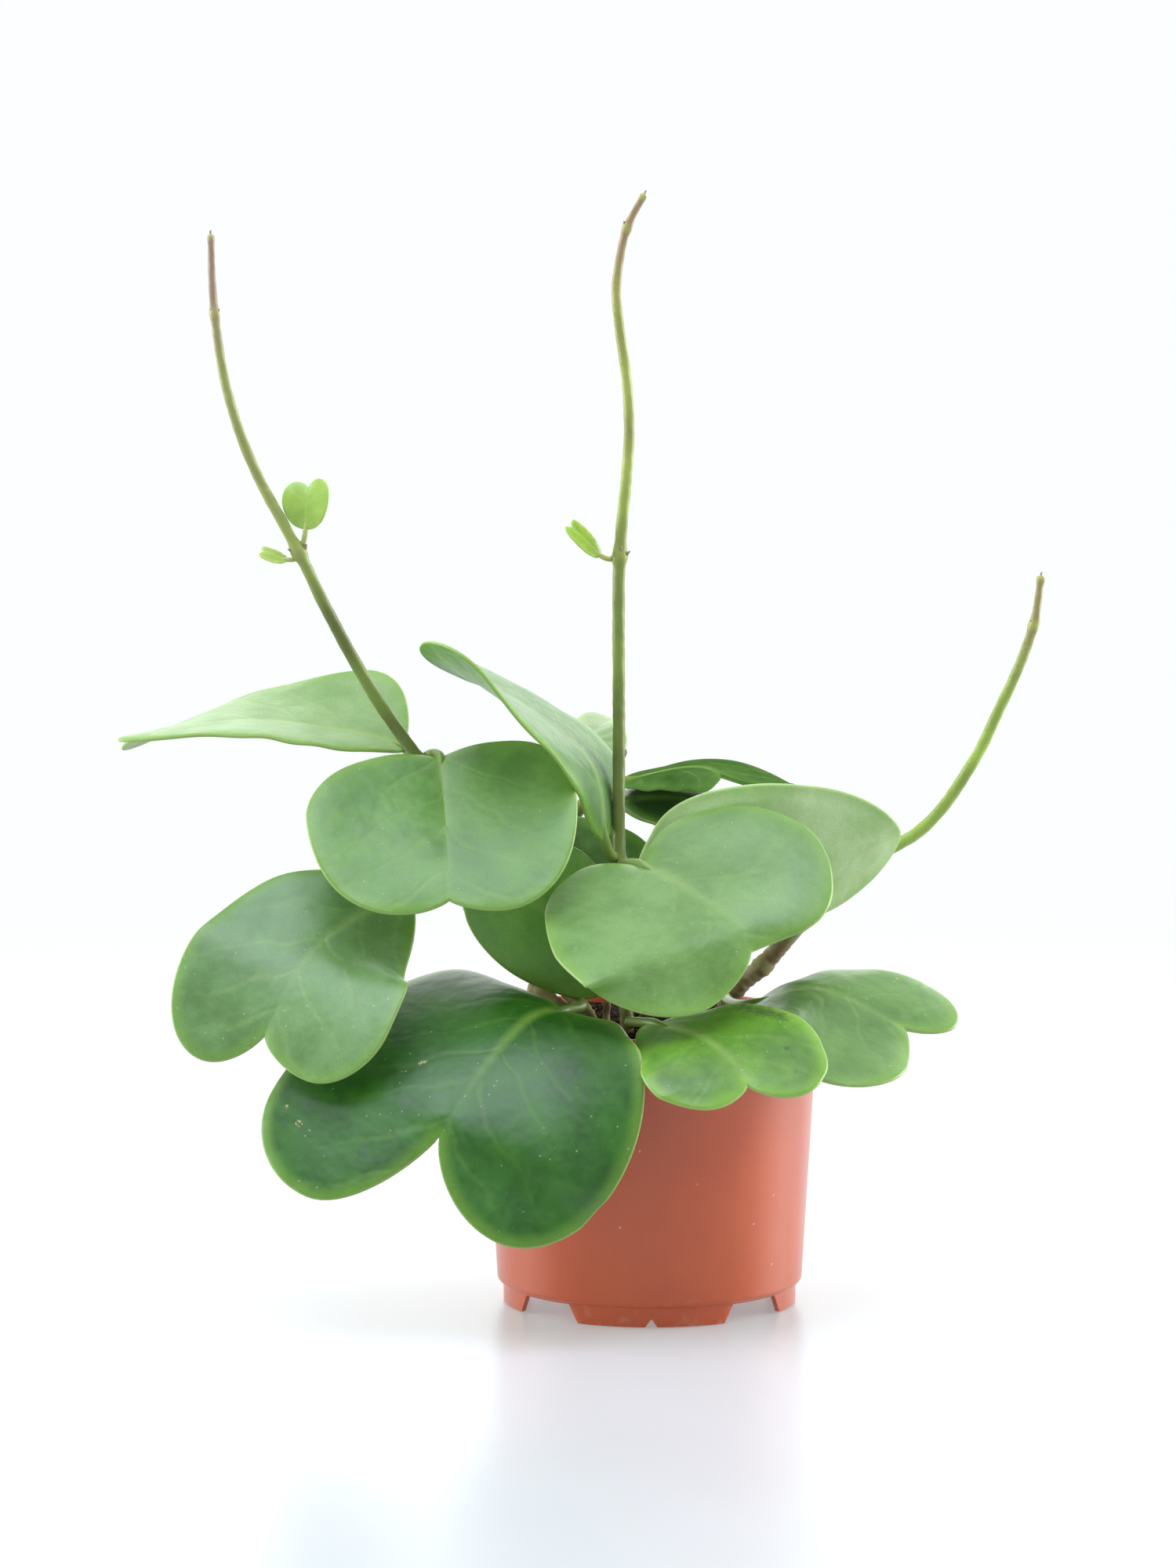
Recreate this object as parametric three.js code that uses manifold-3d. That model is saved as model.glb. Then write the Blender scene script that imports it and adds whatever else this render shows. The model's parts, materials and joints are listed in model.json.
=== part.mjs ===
// A sweetheart hoya (Hoya kerrii) in a terracotta plastic nursery pot: three climbing vines with
// thick heart-shaped leaves, all rooted in one pot of bark-and-coir compost.
// Millimetres, +Z up. The plant is laid out about the pot's axis, and the whole is then moved so
// that the origin is on the surface it stands on, under the middle of its overall size.

import * as THREE from 'three';
import { mergeVertices } from 'three/addons/utils/BufferGeometryUtils.js';
import Module from 'manifold-3d';

const wasm = await Module();
wasm.setup();

// Pot
const potAxisX = 23.6;
const potAxisY = 1.6;
const potHeight = 101.5;
const rimRadius = 60.3;
const mouthRadius = 59.2;
const wallFootRadius = 54.2;
const wall = 1.6;
const footHeight = 7;
const footRadius = 52;
const footBand = 2;
const floorThickness = 2;
const archCount = 4;
const archHalfTop = 10.5;
const archHalfFoot = 14;
const notchHeight = 2.6;
const notchHalf = 2;
const drainHoles = 4;
const drainRadius = 4;
const drainCircle = 34;

// Compost
const soilEdge = 96.5;
const soilMound = 4.5;

// Gap kept between pieces that touch
const gap = 0.3;

// Leaf blade: half its thickness from the middle outwards, and the rounded margin
const bladeHalf = [1.3, 1.1, 0.7];
const ringPlace = [0, 0.5];
const marginWidth = 0.8;
const marginPoints = 28;
const youngMarginPoints = 18;
const petioleRadius = 1.9;

// Vines: points on the middle line from the root up, and the radius at even steps along it
const vines = {
  left: {
    line: [
      [-18, -12, 82], [-20, -12, 100], [-30, -4, 111], [-45, 4, 125], [-61, 6, 155], [-74, 3, 181],
      [-84, 0, 196], [-95, -2, 212], [-112, -6, 243], [-123, -8, 266], [-139, -10, 297],
      [-147.4, -10, 322], [-152, -8, 351], [-153.2, -5, 377],
    ],
    radius: [2.4, 2.4, 2.3, 2.2, 2.2, 2.2, 2, 1.8, 1.6, 1.1],
  },
  centre: {
    line: [
      [-8, -28, 80], [-8, -28, 97], [-9, -22, 112], [-10.6, -8, 134], [-11, 0, 156], [-11, 2, 184],
      [-11, 2, 212], [-11, 2, 258], [-10.1, 1, 274], [-8, 0, 297], [-7.5, 0, 311], [-8.5, 1, 327],
      [-11, 3, 345], [-12, 4, 357], [-11, 4, 367], [-8.2, 2, 379], [-2, -2, 391],
    ],
    radius: [2.6, 2.4, 2.25, 2.2, 2.2, 2.2, 2, 1.8, 1.7, 1.1],
  },
  right: {
    line: [
      [24, 30, 80], [27, 30, 98], [33, 30, 108], [41, 30, 115], [51, 30, 126.5], [64, 31.5, 140.8],
      [76, 32, 151], [89.4, 30, 159], [96, 30, 163], [103.2, 28, 170], [110.3, 26, 180],
      [118.3, 23, 194], [125.3, 20, 210], [130.6, 18, 222], [134.6, 17, 233], [136.6, 16, 240],
      [138.9, 16, 257],
    ],
    radius: [3.4, 3.3, 3.2, 2.8, 2.4, 2.2, 2.1, 1.95, 1.8, 1.1],
  },
  back: {
    line: [
      [-26, 24, 82], [-27, 25, 98], [-34, 31, 128], [-32, 36, 156], [-24, 40, 172], [-12, 46, 186],
      [-8, 48, 192],
    ],
    radius: [2, 2, 2, 1.9, 1.7, 1.2],
  },
};

// Joints of the vines and the bud each vine ends in: where on which vine, how thick, how long
const joints = [
  { vine: 'left', at: [-81, 1, 191], radius: 3, half: 3.4 },
  { vine: 'left', at: [-65, 6, 164], radius: 3, half: 3.4 },
  { vine: 'left', at: [-24, -9, 106], radius: 2.9, half: 3 },
  { vine: 'left', at: [-123, -8, 266], radius: 2.8, half: 3.4 },
  { vine: 'left', at: [-151.6, -8.2, 349], radius: 1.9, half: 2.6 },
  { vine: 'left', at: [-153.2, -5, 376], radius: 1.3, half: 3 },
  { vine: 'centre', at: [-10.6, -8, 134], radius: 3.2, half: 3.4 },
  { vine: 'centre', at: [-11, 0, 156], radius: 3, half: 3.4 },
  { vine: 'centre', at: [-10.7, 2, 264], radius: 2.9, half: 3.4 },
  { vine: 'centre', at: [-8.2, 2, 379], radius: 1.9, half: 2.6 },
  { vine: 'centre', at: [-2.3, -1.8, 390], radius: 1.3, half: 3 },
  { vine: 'right', at: [41, 30, 115], radius: 3.9, half: 3.2 },
  { vine: 'right', at: [55, 30.5, 130.9], radius: 3.4, half: 3.2 },
  { vine: 'right', at: [136.4, 16, 239], radius: 2, half: 2.6 },
  { vine: 'right', at: [138.8, 16, 256], radius: 1.6, half: 2.4 },
  { vine: 'back', at: [-24, 40, 172], radius: 2.5, half: 3 },
  { vine: 'back', at: [-12, 46, 186], radius: 2.5, half: 3 },
];

// Leaves. root is where the stalk leaves the vine, midrib runs from the blade's base to the line
// of its lobes, face is the way the upper side looks, and twist turns it from base to tip.
// A half is [width, distance of its widest line from the base, distance of its lobe from the
// midrib, reach of the lobe, lift at the base, lift at the tip, how full its shoulder is, how far
// it bulges back past the stalk] in millimetres and degrees; notch is the distance of the notch
// from the base.
const leaves = {
  leaf_a: {
    vine: 'left', root: [-81, 1, 191],
    midrib: [[-87, 10, 196], [-111, 10, 201], [-143, 7, 205], [-190, 0, 201]],
    face: [0, -0.15, 1], twist: 8, notch: 85,
    left: [28, 52, 14, 103, -2, 4, 0.33], right: [37, 20, 22, 101, 59, -31],
  },
  leaf_b: {
    vine: 'left', root: [-81, 1, 191], midrib: [[-74.2, -2, 194], [-71.2, -28, 170.2], [-69.2, -54, 144.2]],
    face: [0, -1, 1], twist: 0, notch: 66,
    left: [47, 32, 21, 72, 30, 10, 0.64, 6], right: [49, 34, 21, 72, 24, 10, 0.48, 3],
  },
  leaf_c: {
    vine: 'centre', root: [-12, 1, 157.5],
    midrib: [[-15.5, -8, 164.4], [-22, -7, 191.5], [-56, 0, 217.5], [-85, 3, 231.3]],
    face: [0.7, -0.22, 0.7], twist: -3, notch: 80,
    left: [48, 78, 21, 99, -11, 51, 0.09], right: [31, 29, 16, 96, 9, -16, 0.12],
  },
  leaf_d: {
    vine: 'left', root: [-65, 6, 164],
    midrib: [[-87, -14, 148], [-112, -32, 133], [-123, -46, 121], [-141, -60, 86]],
    face: [-0.2, -0.8, 0.5], twist: 0, notch: 79,
    left: [43, 65, 22, 88, 10, 10, 0.27, 2], right: [40, 61, 18, 95, 10, 10, 0.21, 3],
  },
  leaf_e: {
    vine: 'centre', root: [-10.6, -8.6, 132.6], midrib: [[-12, -5, 129], [-37, -11, 140], [-51, -16, 155]],
    face: [0.3, -0.94, 0.03], twist: 0, notch: 44,
    left: [25, 21, 15, 55, 0, 0, 1.01, 12], right: [25, 28, 14, 50, 0, 0],
  },
  leaf_f: {
    vine: 'centre', root: [-11, -1, 154.5],
    midrib: [[-3, -16, 157], [13, -32, 149], [31, -50, 137], [39, -58, 117]],
    face: [0, -0.57, 0.81], twist: 0, notch: 60,
    left: [50, 29, 16, 59, 10, 10, 0.54, 21], right: [65, 46, 27, 75, 10, 10, 0.31, 33],
  },
  leaf_g: {
    vine: 'left', root: [-24, -9, 106],
    midrib: [[-30, -32, 108], [-42, -44, 106], [-68, -76, 79], [-74, -81, 69]],
    face: [0, -0.5, 0.85], twist: -14, notch: 76,
    left: [62, 58, 33, 99, 38, -12, 0.61, 7], right: [64, 84, 32, 114, -18, -18, 0.98, 13],
  },
  leaf_h: {
    vine: 'centre', root: [-8, -28, 103],
    midrib: [[1, -50, 106], [18, -66, 102], [29, -81, 94], [34, -89, 87]],
    face: [0.08, -0.35, 0.93], twist: 0, notch: 51,
    left: [36, 30, 17, 60, 8, 8, 0.12], right: [32, 38, 13, 56, -2, -10, 0.12, 8],
  },
  leaf_i: {
    vine: 'right', root: [27, 30, 104], midrib: [[35, -9, 107], [58, -13, 112], [87, -23, 101], [104, -26, 95]],
    face: [-0.26, -0.13, 0.95], twist: 15, notch: 59,
    left: [30, 59, 13, 75, -4, 2, 0.12], right: [49, 37, 23, 65, 4, 4, 0.4, 2],
  },
  leaf_j: {
    vine: 'centre', root: [-9, -7.8, 136.6],
    midrib: [[3, 8, 134], [20, 14, 136], [50, 23, 134], [78, 33, 134]],
    face: [-0.26, -0.95, -0.15], twist: 12, notch: 62,
    left: [53, 44, 32, 86, -4, 14, 0.3, 21], right: [10, 26, 6, 54, 4, 2],
  },
  leaf_k: {
    vine: 'back', root: [-12, 46, 186], midrib: [[-8, 43, 181], [19, 36, 186], [37, 28, 181], [50, 20, 180]],
    face: [0, 0, 1], twist: 5, notch: 36,
    left: [41, 30, 16, 61, 3, -18, 0.74, 12], right: [22, 28, 12, 39, -16, -18, 0.35, 3],
  },
  leaf_l: {
    vine: 'back', root: [-24, 40, 172], midrib: [[-13, 43, 174], [10, 46, 174], [40, 48, 168]],
    face: [0, -0.5, 0.85], twist: 0, notch: 50,
    left: [24, 28, 14, 58, -40, -40, 0.6], right: [27, 40, 16, 60, 0, 0, 0.12],
  },
  leaf_m: {
    vine: 'back', root: [-12, 46, 186], midrib: [[-17, 51, 187], [-22, 64, 192], [-27, 78, 196]],
    face: [0, -0.5, 0.85], twist: 0, notch: 28,
    left: [12, 14, 5, 28, 30, 30], right: [17, 26, 9, 44, 5, 5],
  },
  leaf_n: {
    vine: 'left', root: [-65, 6, 164], midrib: [[-54, 13, 155], [-27, 26, 144], [0, 33, 132]],
    face: [0.2, -0.9, 0.4], twist: 0, notch: 50,
    left: [28, 44, 16, 62, 5, 5], right: [30, 28, 16, 58, 5, 5],
  },
};

const young = {
  young_leaf_a: {
    vine: 'left', root: [-123, -8, 266], midrib: [[-120.5, -10, 274], [-120, -10, 283], [-119.5, -8, 291]],
    face: [-0.3, -1, 0.1], twist: 0, notch: 15, thin: 0.5,
    left: [9, 11, 4, 17, 20, 10], right: [9, 11, 4, 18, 30, 20],
  },
  young_leaf_b: {
    vine: 'left', root: [-123, -8, 266], midrib: [[-127, -8, 263.5], [-130, -8, 264], [-135, -8, 266]],
    face: [0.2, -0.6, 0.8], twist: 0, notch: 9, thin: 0.45,
    left: [4, 5, 2, 10, 30, 10], right: [3.5, 5, 2, 10, 10, 10],
  },
  young_leaf_c: {
    vine: 'centre', root: [-10.7, 2, 264], midrib: [[-17.5, 1, 264.5], [-22, 0, 268.5], [-28, 0, 275]],
    face: [0.5, -0.7, 0.5], twist: 0, notch: 14, thin: 0.5,
    left: [5, 8, 2.5, 16, 30, 20], right: [4.5, 8, 2.5, 16, 10, 10],
  },
};

const colours = {
  pot: { color: 0xb65c41, roughness: 0.42, metalness: 0 },
  soil: { color: 0x3b2a22, roughness: 0.95, metalness: 0 },
  vine: { color: 0x7c8a4e, roughness: 0.5, metalness: 0 },
  leaf: { color: 0x4f8a3c, roughness: 0.38, metalness: 0 },
  youngLeaf: { color: 0x7cbc3c, roughness: 0.3, metalness: 0 },
};

const point = (p) => new THREE.Vector3(...p);
const degrees = THREE.MathUtils.degToRad;

// A closed three.js geometry as a solid
function solidOf(geometry) {
  geometry.deleteAttribute('normal');
  geometry.deleteAttribute('uv');
  const merged = mergeVertices(geometry, 1e-3);
  return new wasm.Manifold(new wasm.Mesh({
    numProp: 3,
    vertProperties: new Float32Array(merged.attributes.position.array),
    triVerts: new Uint32Array(merged.index.array),
  }));
}

function geometryOf(solid) {
  const mesh = solid.getMesh();
  const geometry = new THREE.BufferGeometry();
  geometry.setAttribute('position', new THREE.BufferAttribute(mesh.vertProperties, 3));
  geometry.setIndex(new THREE.BufferAttribute(mesh.triVerts, 1));
  geometry.computeVertexNormals();
  return geometry;
}

// A round rod along a curve whose radius changes: a hair-thin tube is swept, then swelled
function rod(path, radiusAt, steps, sides) {
  const hair = 0.05;
  const section = new THREE.Shape().absarc(0, 0, hair, 0, Math.PI * 2);
  const geometry = new THREE.ExtrudeGeometry(section, {
    steps, extrudePath: path, curveSegments: sides / 2, bevelEnabled: false,
  });
  const rings = path.getSpacedPoints(steps);
  const position = geometry.attributes.position;
  const p = new THREE.Vector3();
  for (let i = 0; i < position.count; i++) {
    p.fromBufferAttribute(position, i);
    let nearest = 0;
    rings.forEach((ring, k) => {
      if (ring.distanceTo(p) < rings[nearest].distanceTo(p)) nearest = k;
    });
    p.sub(rings[nearest]).multiplyScalar(radiusAt(nearest / steps) / hair).add(rings[nearest]);
    position.setXYZ(i, p.x, p.y, p.z);
  }
  return solidOf(geometry);
}

function alongList(list, t) {
  const at = t * (list.length - 1);
  const k = Math.min(Math.floor(at), list.length - 2);
  return THREE.MathUtils.lerp(list[k], list[k + 1], at - k);
}

// One half of the heart from the base round to the notch, as points on the flat leaf
function halfOutline([width, widest, lobe, reach, , , shoulder = 0.6, back = 0], notch, side, count) {
  const curve = new THREE.CurvePath();
  const v = (x, y) => new THREE.Vector2(side * x, y);
  curve.add(new THREE.CubicBezierCurve(
    v(0, 0), v(width * shoulder, -0.02 * reach - back), v(width, (widest - back) * 0.5), v(width, widest)));
  curve.add(new THREE.CubicBezierCurve(
    v(width, widest), v(width, widest + 0.55 * (reach - widest)),
    v(lobe + 0.55 * (width - lobe), reach), v(lobe, reach)));
  curve.add(new THREE.CubicBezierCurve(
    v(lobe, reach), v(lobe * 0.5, reach), v(lobe * 0.1, notch + 0.4 * (reach - notch)), v(0, notch)));
  return curve.getSpacedPoints(count);
}

// Where a point of the flat leaf lies once the leaf is bent: x across, y along the midrib
function bend(leaf) {
  const line = new THREE.CatmullRomCurve3(leaf.midrib.map(point), false, 'centripetal');
  const length = line.getLength();
  const face = point(leaf.face).normalize();
  const surface = (x, y) => {
    const t = THREE.MathUtils.clamp(y / length, 0, 1);
    const along = line.getTangentAt(t);
    const centre = line.getPointAt(t).addScaledVector(along, y - t * length);
    const up = face.clone().addScaledVector(along, -face.dot(along)).normalize();
    up.applyAxisAngle(along, degrees(leaf.twist) * t);
    const side = new THREE.Vector3().crossVectors(along, up);
    const half = x < 0 ? leaf.left : leaf.right;
    const lift = degrees(THREE.MathUtils.lerp(half[4], half[5], t));
    const first = 0.4 * lift;
    const rate = 0.6 * lift / half[0];
    const d = Math.abs(x);
    let across = d * Math.cos(first);
    let rise = d * Math.sin(first);
    if (Math.abs(rate) > 1e-6) {
      across = (Math.sin(first + rate * d) - Math.sin(first)) / rate;
      rise = (Math.cos(first) - Math.cos(first + rate * d)) / rate;
    }
    return centre.addScaledVector(side, Math.sign(x) * across).addScaledVector(up, rise);
  };
  const normal = (x, y) => {
    const e = 0.5;
    const dx = surface(x + e, y).sub(surface(x - e, y));
    const dy = surface(x, y + e).sub(surface(x, y - e));
    return dx.cross(dy).normalize();
  };
  return { surface, normal, line };
}

// The blade: a sphere pressed flat on to the heart, then bent along its midrib. Both its faces
// are split into the same triangles, so that the thickness stays even where it waves.
function blade(leaf, thin, points) {
  const half = points / 2;
  const right = halfOutline(leaf.right, leaf.notch, 1, half);
  const left = halfOutline(leaf.left, leaf.notch, -1, half);
  const outline = [...right, ...left.slice(1, -1).reverse()];
  const middle = new THREE.Vector2(0, leaf.notch * 0.55);
  const bent = bend(leaf);
  const levels = 2 * ringPlace.length + 2;
  const geometry = new THREE.SphereGeometry(1, points, levels);
  const position = geometry.attributes.position;
  const columns = points + 1;
  const faces = [];
  for (let level = 0; level < levels; level++) {
    for (let k = 0; k < points; k++) {
      const near = level * columns + k;
      const far = near + columns;
      if (level === 0) faces.push(near, far, far + 1);
      else if (level === levels - 1) faces.push(near + 1, near, far);
      else if (level < levels / 2) faces.push(near + 1, near, far + 1, near, far, far + 1);
      else faces.push(near + 1, near, far, near + 1, far, far + 1);
    }
  }
  geometry.setIndex(faces);
  for (let i = 0; i < position.count; i++) {
    const level = Math.floor(i / columns);
    const rim = outline[(i % columns) % points];
    const fromTop = Math.min(level, levels - level);
    const away = rim.distanceTo(middle);
    let place = 1;
    let thickness = 0;
    if (fromTop < ringPlace.length) place = ringPlace[fromTop];
    else if (fromTop === ringPlace.length) place = 1 - marginWidth * thin / away;
    if (fromTop <= ringPlace.length) thickness = bladeHalf[fromTop] * thin;
    const flat = middle.clone().lerp(rim, place);
    const p = bent.surface(flat.x, flat.y);
    const offset = level * 2 < levels ? thickness : -thickness;
    p.addScaledVector(bent.normal(flat.x, flat.y), offset);
    position.setXYZ(i, p.x, p.y, p.z);
  }
  return solidOf(geometry);
}

const vinePath = (vine, back = 0) => {
  const points = vine.line.map(point);
  points[0].addScaledVector(points[0].clone().sub(points[1]).normalize(), back);
  return new THREE.CatmullRomCurve3(points, false, 'centripetal');
};

// A vine with its swollen joints; grow makes it that much fatter, for the holes it stands in
function vineSolid(name, grow = 0) {
  const vine = vines[name];
  const path = vinePath(vine, grow);
  const steps = Math.round(path.getLength() / 11);
  let solid = rod(path, (t) => alongList(vine.radius, t) + grow, steps, 8);
  for (const joint of joints.filter((j) => j.vine === name)) {
    const knob = new THREE.SphereGeometry(1, 8, 4);
    const at = point(joint.at);
    let best = 0;
    for (let k = 0; k <= 400; k++) {
      if (path.getPointAt(k / 400).distanceTo(at) < path.getPointAt(best).distanceTo(at)) best = k / 400;
    }
    knob.scale(joint.radius + grow, joint.half + grow, joint.radius + grow);
    knob.applyQuaternion(new THREE.Quaternion().setFromUnitVectors(
      new THREE.Vector3(0, 1, 0), path.getTangentAt(best)));
    knob.translate(...path.getPointAt(best).toArray());
    solid = solid.add(solidOf(knob));
  }
  return solid;
}

function leafSolid(leaf, vineRoom) {
  const bent = bend(leaf);
  const thin = leaf.thin ?? 1;
  const points = leaf.thin ? youngMarginPoints : marginPoints;
  const root = point(leaf.root);
  const base = bent.surface(0, 0).addScaledVector(bent.normal(0, 0), -0.4 * thin);
  const inside = bent.surface(0, 9 * thin).addScaledVector(bent.normal(0, 9 * thin), -0.4 * thin);
  const towards = bent.surface(0, -4 * thin).addScaledVector(bent.normal(0, 0), -1);
  const stalk = new THREE.CatmullRomCurve3(
    [root, towards.lerp(root, 0.35), base, inside], false, 'centripetal');
  const steps = Math.max(3, Math.round(stalk.getLength() / 6));
  const reach = stalk.getLength();
  const stalkRadius = (t) => {
    const left = reach * (1 - t);
    return petioleRadius * thin * Math.min(1, 0.45 + left / (9 * thin) * 0.55);
  };
  return blade(leaf, thin, points).add(rod(stalk, stalkRadius, steps, 6)).subtract(vineRoom);
}

function potSolid() {
  const inner = footRadius - footBand;
  const floor = footHeight + floorThickness;
  const profile = [
    [0, footHeight], [inner, footHeight], [inner, 0], [footRadius - 0.6, 0],
    [footRadius, footHeight - 0.6], [footRadius + 0.8, footHeight],
    [wallFootRadius - 0.4, footHeight + 1], [wallFootRadius, footHeight + 2.6],
    [mouthRadius, potHeight - 7], [rimRadius, potHeight - 6], [rimRadius, potHeight - 0.6],
    [rimRadius - 0.6, potHeight], [mouthRadius - wall, potHeight], [mouthRadius - wall - 0.4, potHeight - 7],
    [wallFootRadius - wall, floor + 2], [wallFootRadius - wall - 1.6, floor + 0.4],
    [wallFootRadius - wall - 3, floor], [0, floor],
  ];
  const lathe = new THREE.LatheGeometry(profile.map((p) => new THREE.Vector2(...p)), 40);
  lathe.rotateX(Math.PI / 2);
  let solid = solidOf(lathe);
  if (solid.volume() < 0) throw new Error('pot inside out');
  const cutter = (outline, turn, from, depth) => {
    const shape = new THREE.Shape(outline.map((p) => new THREE.Vector2(...p)));
    const geometry = new THREE.ExtrudeGeometry(shape, { depth, steps: 1, bevelEnabled: false });
    geometry.translate(0, 0, from);
    geometry.rotateX(Math.PI / 2);
    geometry.rotateZ(turn);
    return solidOf(geometry);
  };
  for (let k = 0; k < archCount; k++) {
    const turn = k * Math.PI * 2 / archCount;
    const arch = [
      [-archHalfFoot, -1], [archHalfFoot, -1],
      [archHalfTop, footHeight - 0.6], [-archHalfTop, footHeight - 0.6],
    ];
    solid = solid.subtract(cutter(arch, turn + Math.PI / 4, 40, 25));
    const slit = [[-notchHalf * 1.4, -1], [notchHalf * 1.4, -1], [0, notchHeight]];
    solid = solid.subtract(cutter(slit, turn, 40, 25));
  }
  for (let k = 0; k < drainHoles; k++) {
    const hole = new THREE.CylinderGeometry(drainRadius, drainRadius, floorThickness + 4, 12);
    hole.rotateX(Math.PI / 2);
    const turn = (k + 0.5) * Math.PI * 2 / drainHoles;
    hole.translate(Math.cos(turn) * drainCircle, Math.sin(turn) * drainCircle, footHeight + floorThickness / 2);
    solid = solid.subtract(solidOf(hole));
  }
  return solid;
}

function soilSolid(rooms) {
  const floor = footHeight + floorThickness + gap;
  const innerFoot = wallFootRadius - wall - gap;
  const innerTop = mouthRadius - wall - gap - 0.7;
  const profile = [
    [0, floor], [innerFoot - 3, floor], [innerFoot - 0.2, floor + 3],
    [innerTop, soilEdge], [innerTop - 6, soilEdge + 1.4], [40, soilEdge + soilMound * 0.6],
    [28, soilEdge + soilMound * 0.9], [14, soilEdge + soilMound], [0, soilEdge + soilMound],
  ];
  const lathe = new THREE.LatheGeometry(profile.map((p) => new THREE.Vector2(...p)), 32);
  lathe.rotateX(Math.PI / 2);
  const position = lathe.attributes.position;
  for (let i = 0; i < position.count; i++) {
    const x = position.getX(i);
    const y = position.getY(i);
    const z = position.getZ(i);
    if (z > soilEdge + 1) {
      position.setZ(i, z + 0.9 * Math.sin(x * 0.21 + 1) * Math.cos(y * 0.17));
    }
  }
  let solid = solidOf(lathe);
  for (const room of rooms) solid = solid.subtract(room);
  return solid;
}

const plant = new THREE.Group();
plant.position.set(potAxisX, potAxisY, 0);

function place(name, solid, look) {
  const mesh = new THREE.Mesh(geometryOf(solid), new THREE.MeshStandardMaterial(look));
  mesh.name = name;
  plant.add(mesh);
}

const rooms = Object.fromEntries(Object.keys(vines).map((name) => [name, vineSolid(name, gap)]));

place('pot', potSolid(), colours.pot);
place('soil', soilSolid(Object.values(rooms)), colours.soil);
for (const name of Object.keys(vines)) place('vine_' + name, vineSolid(name), colours.vine);
for (const [name, leaf] of Object.entries(leaves)) {
  place(name, leafSolid(leaf, rooms[leaf.vine]), colours.leaf);
}
for (const [name, leaf] of Object.entries(young)) {
  place(name, leafSolid(leaf, rooms[leaf.vine]), colours.youngLeaf);
}

const hoya = new THREE.Group();
hoya.add(plant);

export default hoya;
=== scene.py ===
import json
import math
import random

import bpy
import numpy as np
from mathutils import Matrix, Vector

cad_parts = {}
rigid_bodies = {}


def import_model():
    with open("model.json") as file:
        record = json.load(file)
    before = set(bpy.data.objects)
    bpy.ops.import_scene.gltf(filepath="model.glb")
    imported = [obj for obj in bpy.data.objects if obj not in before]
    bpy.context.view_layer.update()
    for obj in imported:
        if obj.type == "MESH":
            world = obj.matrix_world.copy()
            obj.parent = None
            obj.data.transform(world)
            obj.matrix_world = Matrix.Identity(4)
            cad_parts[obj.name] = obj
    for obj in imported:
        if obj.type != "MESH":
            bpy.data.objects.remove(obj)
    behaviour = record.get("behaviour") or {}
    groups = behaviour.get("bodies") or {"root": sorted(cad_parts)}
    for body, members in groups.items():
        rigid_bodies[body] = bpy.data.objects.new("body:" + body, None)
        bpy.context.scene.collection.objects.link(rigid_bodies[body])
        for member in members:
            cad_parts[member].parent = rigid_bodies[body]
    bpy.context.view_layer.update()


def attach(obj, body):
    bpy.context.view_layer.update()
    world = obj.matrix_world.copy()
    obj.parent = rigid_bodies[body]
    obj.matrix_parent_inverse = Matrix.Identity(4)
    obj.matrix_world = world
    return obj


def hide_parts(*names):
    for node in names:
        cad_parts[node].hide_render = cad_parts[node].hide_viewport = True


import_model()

# where the pot's axis stands in the frame
plantPlace = {"axisX": 23.6, "axisY": 1.6}
potCentre = np.array([plantPlace["axisX"], plantPlace["axisY"], 0.0])


def linear(text):
    # an sRGB hex value as the linear colour that shaders take
    values = [int(text[k:k + 2], 16) / 255 for k in (1, 3, 5)]
    return [v / 12.92 if v <= 0.04045 else ((v + 0.055) / 1.055) ** 2.4 for v in values] + [1.0]


def isSource(value):
    return isinstance(value, bpy.types.Node) or (
        isinstance(value, tuple) and isinstance(value[0], bpy.types.Node))


def addNode(tree, kind, inputs=None):
    # one node; each entry is an attribute or input with its value, or with the node that feeds it
    node = tree.nodes.new("ShaderNode" + kind)
    for key, value in (inputs or {}).items():
        if isSource(value):
            source, output = value if isinstance(value, tuple) else (value, 0)
            tree.links.new(source.outputs[output], node.inputs[key])
        elif isinstance(key, str) and hasattr(node, key):
            setattr(node, key, value)
        else:
            node.inputs[key].default_value = linear(value) if isinstance(value, str) else value
    return node


def scalar(tree, operation, *values):
    # arithmetic on numbers or nodes
    return addNode(tree, "Math", {"operation": operation, **dict(enumerate(values))})


def remap(tree, value, start=(0.0, 1.0), end=(0.0, 1.0), smooth=False):
    return addNode(tree, "MapRange", {
        "interpolation_type": "SMOOTHSTEP" if smooth else "LINEAR", "Value": value,
        "From Min": start[0], "From Max": start[1], "To Min": end[0], "To Max": end[1],
    })


def mixTones(tree, share, first, second):
    return addNode(tree, "MixRGB", {"Fac": share, "Color1": first, "Color2": second})


def ramp(tree, share, *stops):
    # tones at their places along the share
    node = addNode(tree, "ValToRGB", {"Fac": share})
    elements = node.color_ramp.elements
    while len(elements) < len(stops):
        elements.new(0.5)
    for element, (place, shade) in zip(elements, stops):
        element.position = place
        element.color = linear(shade)
    return node


def painted(tree, name):
    # the three values that are painted on the mesh under this name
    values = addNode(tree, "Attribute", {"attribute_name": name})
    return addNode(tree, "SeparateXYZ", {0: (values, "Vector")})


def noise(tree, where, scale, detail, roughness=0.5, distortion=0.0):
    return addNode(tree, "TexNoise", {
        "Vector": where, "Scale": scale, "Detail": detail, "Roughness": roughness, "Distortion": distortion,
    })


def newMaterial(name):
    material = bpy.data.materials.new(name)
    material.use_nodes = True
    material.node_tree.nodes.clear()
    return material, material.node_tree


def withSkin(material, inputs):
    tree = material.node_tree
    skin = addNode(tree, "BsdfPrincipled", inputs)
    addNode(tree, "OutputMaterial", {"Surface": skin})
    return material


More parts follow.
